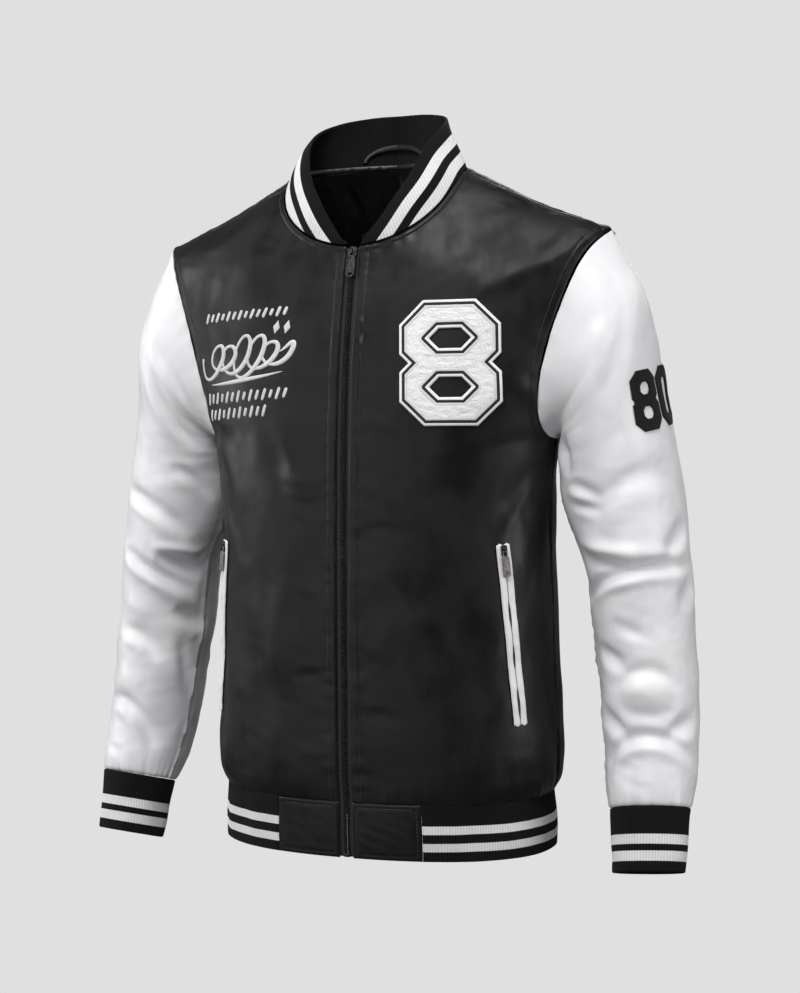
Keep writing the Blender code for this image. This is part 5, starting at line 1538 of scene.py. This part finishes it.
def plain_felt(name, low, high):
    """Felt of one colour with a short matted nap."""
    made, start = start_finish(name, sheen_weight=0.06, sheen_roughness=0.5, specular_ior_level=0.12)
    nap = start.noise(start.object_place(), 1300, detail=4.0)
    lumps = start.noise(start.object_place(), 260)
    return dress(made, (nap * 0.7 + lumps * 0.3).mix(low, high), nap * 0.1 + 0.80, nap, depth=0.0003)


patch_felt = layered_felt("layered_patch_felt")
black_felt = plain_felt("black_number_felt", (0.004, 0.004, 0.0045, 1), (0.022, 0.021, 0.021, 1))

flat = trimmed_grid(block_eight, PATCH_SIZE, PATCH_STROKE, PATCH_CELL)
x, y, depth = flat[:3]
patch_out = front_out(0.66, PATCH_CENTRE[1], +1)
place = lambda x, y, lift: laid(x, y, lift, +1, PATCH_CENTRE, patch_out)[0]
past_border = depth - PATCH_LAYERS[2]
relief = BORDER_RISE * bell(depth - (PATCH_LAYERS[1] + PATCH_LAYERS[2]) / 2, 0.0009)
relief = relief + PILE_RISE * smooth(past_border / 0.0008)
relief = relief + PILE_WAVE * ripple(x, y, 130, 0.006, 0.020) * smooth(past_border / 0.002)
patch = make_plate("chest_patch", flat, place, PATCH_THICK, PATCH_GAP, relief, patch_felt, "white_felt")


def round_sleeve(x, y, lift):
    """Places flat points round the sleeve: x runs round it to the rear, and y runs up its axis."""
    top, foot = SLEEVE_AXIS
    along = unit(top - foot)
    middle = top + (foot - top) * (top[2] - DIGIT_UP) / (top[2] - foot[2])

    def measure(p):
        """A place's angle round the axis, and how far up the axis it is."""
        reach = (p - middle) @ along
        spoke = p - middle - reach[..., None] * along
        return np.arctan2(-spoke[..., 1], spoke[..., 0]), reach

    wanted = DIGIT_MIDDLE - x / WRAP_RADIUS, y
    around, down = found(sleeve_form, measure, wanted, (wanted[0], 0.165 - y))
    points, n = sleeve(around, down, +1)
    return points + n * (0 * x + lift)[..., None]


offset = (DIGIT_SIZE[0] + DIGIT_SPACE) / 2
for name, figure, sign in (("front", block_eight, -1), ("rear", block_nought, +1)):
    flat = trimmed_grid(figure, DIGIT_SIZE, DIGIT_STROKE, DIGIT_CELL)
    place = lambda x, y, lift: round_sleeve(x + sign * offset, y, lift)
    relief = DIGIT_EDGE_RISE * bell(flat[2] - 0.0012, 0.0007)
    node = "sleeve_number_" + name
    piece = make_plate(node, flat, place, DIGIT_THICK, DIGIT_GAP, relief, black_felt, "black_felt")


# ---------------------------------------------------------------- embroidery on the wearer's right chest
# White satin-stitch embroidery in place of words: a looping flourish with a row of slanted bars over it and
# two rows under it, and two small lozenges.
EMBROIDERY_CENTRE = (-0.1170, 0.4800)
FLOURISH_LOOPS = 6
FLOURISH_LONG = 0.1020
FLOURISH_HIGH = 0.0215
FLOURISH_SWING = 0.0125
THREAD_LEAST = 0.0001
BAR_SLANT = 0.32
BAR_HALF_WIDTH = 0.00175
BAR_SHARES = (1.0, 0.82, 1.0, 0.70)
# Each row of bars: its middle's height, the bars' height, how many, and where it starts and ends.
BAR_ROWS = (
    (0.0450, 0.0100, 14, -0.050, 0.046),
    (-0.0350, 0.0120, 14, -0.054, 0.054),
    (-0.0510, 0.0120, 11, -0.052, 0.030),
)
LOZENGE_HIGH, LOZENGE_HALF_WIDTH, LOZENGE_RISE = 0.013, 0.0036, 0.0006


def satin_thread(name):
    """White embroidery thread in close parallel stitches across each stroke, with a silky shine and painted
    shade in the grooves between stitches.
    """
    made, start = start_finish(name, sheen_weight=0.2, specular_ior_level=0.55, anisotropic=0.5)
    stitch = (start.cloth_place(1) * (2 * math.pi / 0.00055)).waves()
    fuzz = start.noise(start.object_place(), 2200)
    # Painted shade: the thread is greyer where the stitch bump is low, between stitches.
    color = (stitch * 0.75 + fuzz * 0.25).mix((0.66, 0.66, 0.68, 1), (0.97, 0.97, 0.97, 1))
    return dress(made, color, fuzz * 0.15 + 0.36, stitch, depth=0.00022)


thread = satin_thread("white_satin_stitch")
embroidery_out = front_out(0.75, EMBROIDERY_CENTRE[1], -1)


def raised_stroke(line_x, line_y, half_width, rise):
    """A padded stroke along a flat line, as a closed rounded ribbon on the wearer's right chest."""
    along = np.hypot(np.gradient(line_x), np.gradient(line_y))
    side_x, side_y = np.gradient(line_y) / along, -np.gradient(line_x) / along
    turn = np.linspace(0, 2 * math.pi, 10, endpoint=False)
    x = line_x[:, None] + side_x[:, None] * half_width[:, None] * np.cos(turn)
    y = line_y[:, None] + side_y[:, None] * half_width[:, None] * np.cos(turn)
    lift = 0.0001 + np.maximum(rise[:, None] * np.sin(turn), -0.0004)
    rings = laid(x, y, lift, -1, EMBROIDERY_CENTRE, embroidery_out)[0]
    uv = np.stack(np.broadcast_arrays(turn * 0.001, along.cumsum()[:, None]), axis=-1)
    return rings, uv


def both_ends(share, over):
    """0 at both ends and 1 between, changing over that share."""
    return smooth(share / over) * smooth((1 - share) / over)


s = np.linspace(0, 1, 420)
phase = 2 * math.pi * FLOURISH_LOOPS * s + 0.6
swing = FLOURISH_HIGH * (0.75 + 0.25 * np.cos(2 * math.pi * 1.7 * s + 0.4)) * both_ends(s, 0.05)
line_y = 0.004 + swing * np.cos(phase) + 0.008 * (s - 0.5)
line_x = (s - 0.5) * FLOURISH_LONG - FLOURISH_SWING * np.sin(phase) + BAR_SLANT * swing * np.cos(phase)
half_width = 0.0014 + 0.0013 * np.clip(-np.sin(phase), 0, 1) ** 0.8
half_width = half_width * np.sqrt(both_ends(s, 0.02)) + THREAD_LEAST
strokes = [raised_stroke(line_x, line_y, half_width, 0.35 * half_width)]

# The line under the flourish rises to the right and is thickest in its middle.
tail = np.linspace(0, 1, 120)
tail_width = 0.0003 + 0.0017 * np.sin(math.pi * tail) ** 1.2
tail_width = tail_width * np.sqrt(both_ends(tail, 0.06)) + THREAD_LEAST
tail_x, tail_y = -0.048 + 0.098 * tail, -0.0235 + 0.012 * tail**1.6
strokes.append(raised_stroke(tail_x, tail_y, tail_width, 0.35 * tail_width))

bar = np.linspace(-0.5, 0.5, 16)
bar_width = BAR_HALF_WIDTH * np.sqrt(np.clip(1 - (2 * bar) ** 6, 0.01, 1))
for row_y, high, count, left, right in BAR_ROWS:
    for k, middle_x in enumerate(np.linspace(left, right, count)):
        up = bar * high * BAR_SHARES[k % 4]
        y = row_y + up + 0.05 * middle_x
        strokes.append(raised_stroke(middle_x + BAR_SLANT * up, y, bar_width, 0.4 * bar_width))
for middle_x in (0.0385, 0.0500):
    up = bar * LOZENGE_HIGH
    width = LOZENGE_HALF_WIDTH * (1 - np.abs(2 * bar)) + THREAD_LEAST
    strokes.append(raised_stroke(middle_x + 0.2 * up, 0.0315 + up, width, LOZENGE_RISE + 0 * bar))
points, faces, uvs, total = [], [], [], 0
for rings, uv in strokes:
    points.append(rings.reshape(-1, 3))
    faces.append(closed_shape(rings)[:, ::-1] + total)
    uvs.append(uv.reshape(-1, 2))
    total += rings.shape[0] * rings.shape[1]
points, faces, uv = np.concatenate(points), np.concatenate(faces), np.concatenate(uvs)
make_piece("chest_embroidery", points, faces, thread, "white_felt", uv=uv)


# ---------------------------------------------------------------- topstitches
# Thread sunk a little into the cloth along the zip edges, the armholes, the neckline, the shoulders, the hem
# tabs and the pocket lips: each stitch is a short bead with a gap before the next.
STITCH_PITCH = 0.0036
STITCH_LONG = 0.0029
STITCH_RADIUS = 0.00030
STITCH_LIFT = 0.00008
BEAD = columns(
    "at     share",
    (-0.50, 0.35),
    (-0.38, 0.95),
    (+0.38, 0.95),
    (+0.50, 0.35),
)


def level_line(grid, out, distance, level):
    """The points where each row of a grid first reaches a distance, counting from its first column."""
    reached = distance >= level
    rows = np.flatnonzero(reached.any(axis=1) & ~reached[:, 0])
    after = reached[rows].argmax(axis=1)
    near, far = distance[rows, after - 1], distance[rows, after]
    t = ((level - near) / (far - near))[:, None]
    return grid[rows, after - 1] * (1 - t) + grid[rows, after] * t, out[rows, after]


def stitch_beads(lines, lift):
    """Stitches at an even pitch along lines of points with normals, as one joined set of small beads."""
    centres, axes = [], []
    for points, n in lines:
        length = lengths_along(points)
        at = (np.arange(int(length[-1] / STITCH_PITCH)) + 0.5) * STITCH_PITCH
        normal = unit(places_at(at, length, n))
        along = places_at(at + 0.0008, length, points) - places_at(at - 0.0008, length, points)
        along = unit(along - normal * (along * normal).sum(axis=1, keepdims=True))
        centres.append(places_at(at, length, points) + normal * lift)
        axes.append(np.stack([normal, np.cross(along, normal), along], axis=1))
    turn = np.linspace(0, 2 * math.pi, 6, endpoint=False)
    ring = np.stack([np.cos(turn), np.sin(turn)], axis=-1)
    size = lambda row: (STITCH_RADIUS * row["share"], STITCH_RADIUS * row["share"], row["at"] * STITCH_LONG)
    rings = np.stack([ring_points(ring, *size(row)) for row in rows_of(BEAD)])
    return repeated(rings, np.concatenate(centres), np.concatenate(axes))


def sewing_thread(name, low, high):
    """Twisted sewing thread with a slight shine."""
    made, start = start_finish(name, specular_ior_level=0.5, roughness=0.45)
    twist = start.noise(start.object_place(), 3000)
    return dress(made, twist.mix(low, high), twist * 0.2 + 0.35, twist, depth=0.0001)


black_thread = sewing_thread("black_sewing_thread", (0.010, 0.010, 0.011, 1), (0.045, 0.044, 0.044, 1))
white_thread = sewing_thread("white_sewing_thread", (0.74, 0.74, 0.75, 1), (0.90, 0.90, 0.91, 1))

turned = lambda a: np.swapaxes(a[::-1], 0, 1)
black_lines = []
for side_name, side in SIDES:
    sewn = panels[side]
    grid, out = sewn["grid"], sewn["out"]
    black_lines.append(level_line(grid, out, sewn["zip"], ZIP_STITCH[side]))
    foot = int(np.argmax(grid[:, -1, 2] > ARMPIT + 0.004))
    upper = [a[foot:, ::-1] for a in (grid, out, sewn["armhole"])]
    black_lines.append(level_line(*upper, ARMHOLE_STITCH))
    corner = neck_column(grid)
    seams = (("neck", NECK_STITCH, slice(corner)), ("shoulder", SHOULDER_STITCH, slice(corner, -3)))
    for name, level, part in seams:
        black_lines.append(level_line(*(turned(a)[part] for a in (grid, out, sewn[name])), level))
    tab = tab_edges[side]
    for faced in (tab, [a[:, ::-1] for a in tab], [turned(a) for a in tab]):
        black_lines.append(level_line(*faced, TAB_STITCH))
make_piece("black_topstitches", *stitch_beads(black_lines, STITCH_LIFT), black_thread, "black_leather")
make_piece("white_topstitches", *stitch_beads(lip_lines, 0.0), white_thread, "white_leather")


# ---------------------------------------------------------------- studio
# A pale grey sweep with soft light from the front left and a tall soft box on the right, and the camera at
# the height of the chest, turned to the wearer's left.
CAMERA_AZIMUTH, CAMERA_ELEVATION, CAMERA_ROLL = 22.7, 2.4, 0.71
CAMERA_AWAY = 2.0
FRAME_HEIGHT = 0.993
SENSOR = 36.0

target = Vector((0.015, 0, 0.343 - HOLD_HEIGHT))


def looking_from(azimuth, elevation, away, roll=0.0):
    """The place of a camera or a light that looks at the jacket's middle from those angles in degrees."""
    a, e = math.radians(azimuth), math.radians(elevation)
    direction = Vector((math.sin(a) * math.cos(e), -math.cos(a) * math.cos(e), math.sin(e)))
    turn = (-direction).to_track_quat("-Z", "Y").to_matrix() @ Matrix.Rotation(math.radians(-roll), 3, "Z")
    return Matrix.Translation(target + direction * away) @ turn.to_4x4()


lens = bpy.data.cameras.new("camera")
lens.sensor_width = SENSOR
lens.lens = CAMERA_AWAY / FRAME_HEIGHT * SENSOR
camera = show("camera", lens)
camera.matrix_world = looking_from(CAMERA_AZIMUTH, CAMERA_ELEVATION, CAMERA_AWAY, CAMERA_ROLL)
bpy.context.scene.camera = camera

# Each light's name, azimuth and elevation as seen from the jacket, distance, width, height and watts.
LIGHTS = (
    ("key", -72, 16, 2.6, 1.2, 1.8, 30),
    ("fill", -22, 4, 3.4, 2.6, 2.6, 22),
    ("front", 2, 48, 3.0, 1.0, 1.2, 42),
    ("right_strip", 80, 10, 2.0, 0.6, 1.8, 15),
    ("top", 20, 70, 2.2, 1.4, 1.2, 18),
    ("behind", 195, 25, 2.6, 2.0, 2.0, 45),
)


for name, azimuth, elevation, away, width, height, watts in LIGHTS:
    light = bpy.data.lights.new(name, "AREA")
    light.shape = "RECTANGLE"
    light.size, light.size_y, light.energy = width, height, watts
    show(name, light).matrix_world = looking_from(azimuth, elevation, away)

PALE = (0.745, 0.745, 0.745, 1)
ROOM = (0.13, 0.13, 0.135, 1)
FLOOR_UP = -0.33
FLOOR_REACH = 12.0

world = bpy.data.worlds.new("studio")
world.use_nodes = True
sky = Socket(world.node_tree)
seen = sky.node("LightPath", output="Is Camera Ray")
world.node_tree.links.new(seen.mix(ROOM, PALE).output, world.node_tree.nodes["Background"].inputs["Color"])
bpy.context.scene.world = world
bpy.context.scene.view_settings.view_transform = "Standard"

# The floor is as pale as the sweep behind it, and it lights nothing.
square = np.array([[-1, -1, 0], [1, -1, 0], [1, 1, 0], [-1, 1, 0]])
corners = FLOOR_REACH * square + [0, 0, FLOOR_UP - HOLD_HEIGHT]
floor_mesh = bpy.data.meshes.new("floor")
floor_mesh.from_pydata(corners.tolist(), [], [(0, 1, 2, 3)])
pale, start = start_finish("pale_floor", base_color=(0, 0, 0, 1), specular_ior_level=0.0, emission_color=PALE)
pale.node_tree.nodes["Principled BSDF"].inputs["Emission Strength"].default_value = 1.0
floor_mesh.materials.append(pale)
floor = show("floor", floor_mesh)
floor.visible_diffuse = False
floor.visible_glossy = False
floor.visible_shadow = False
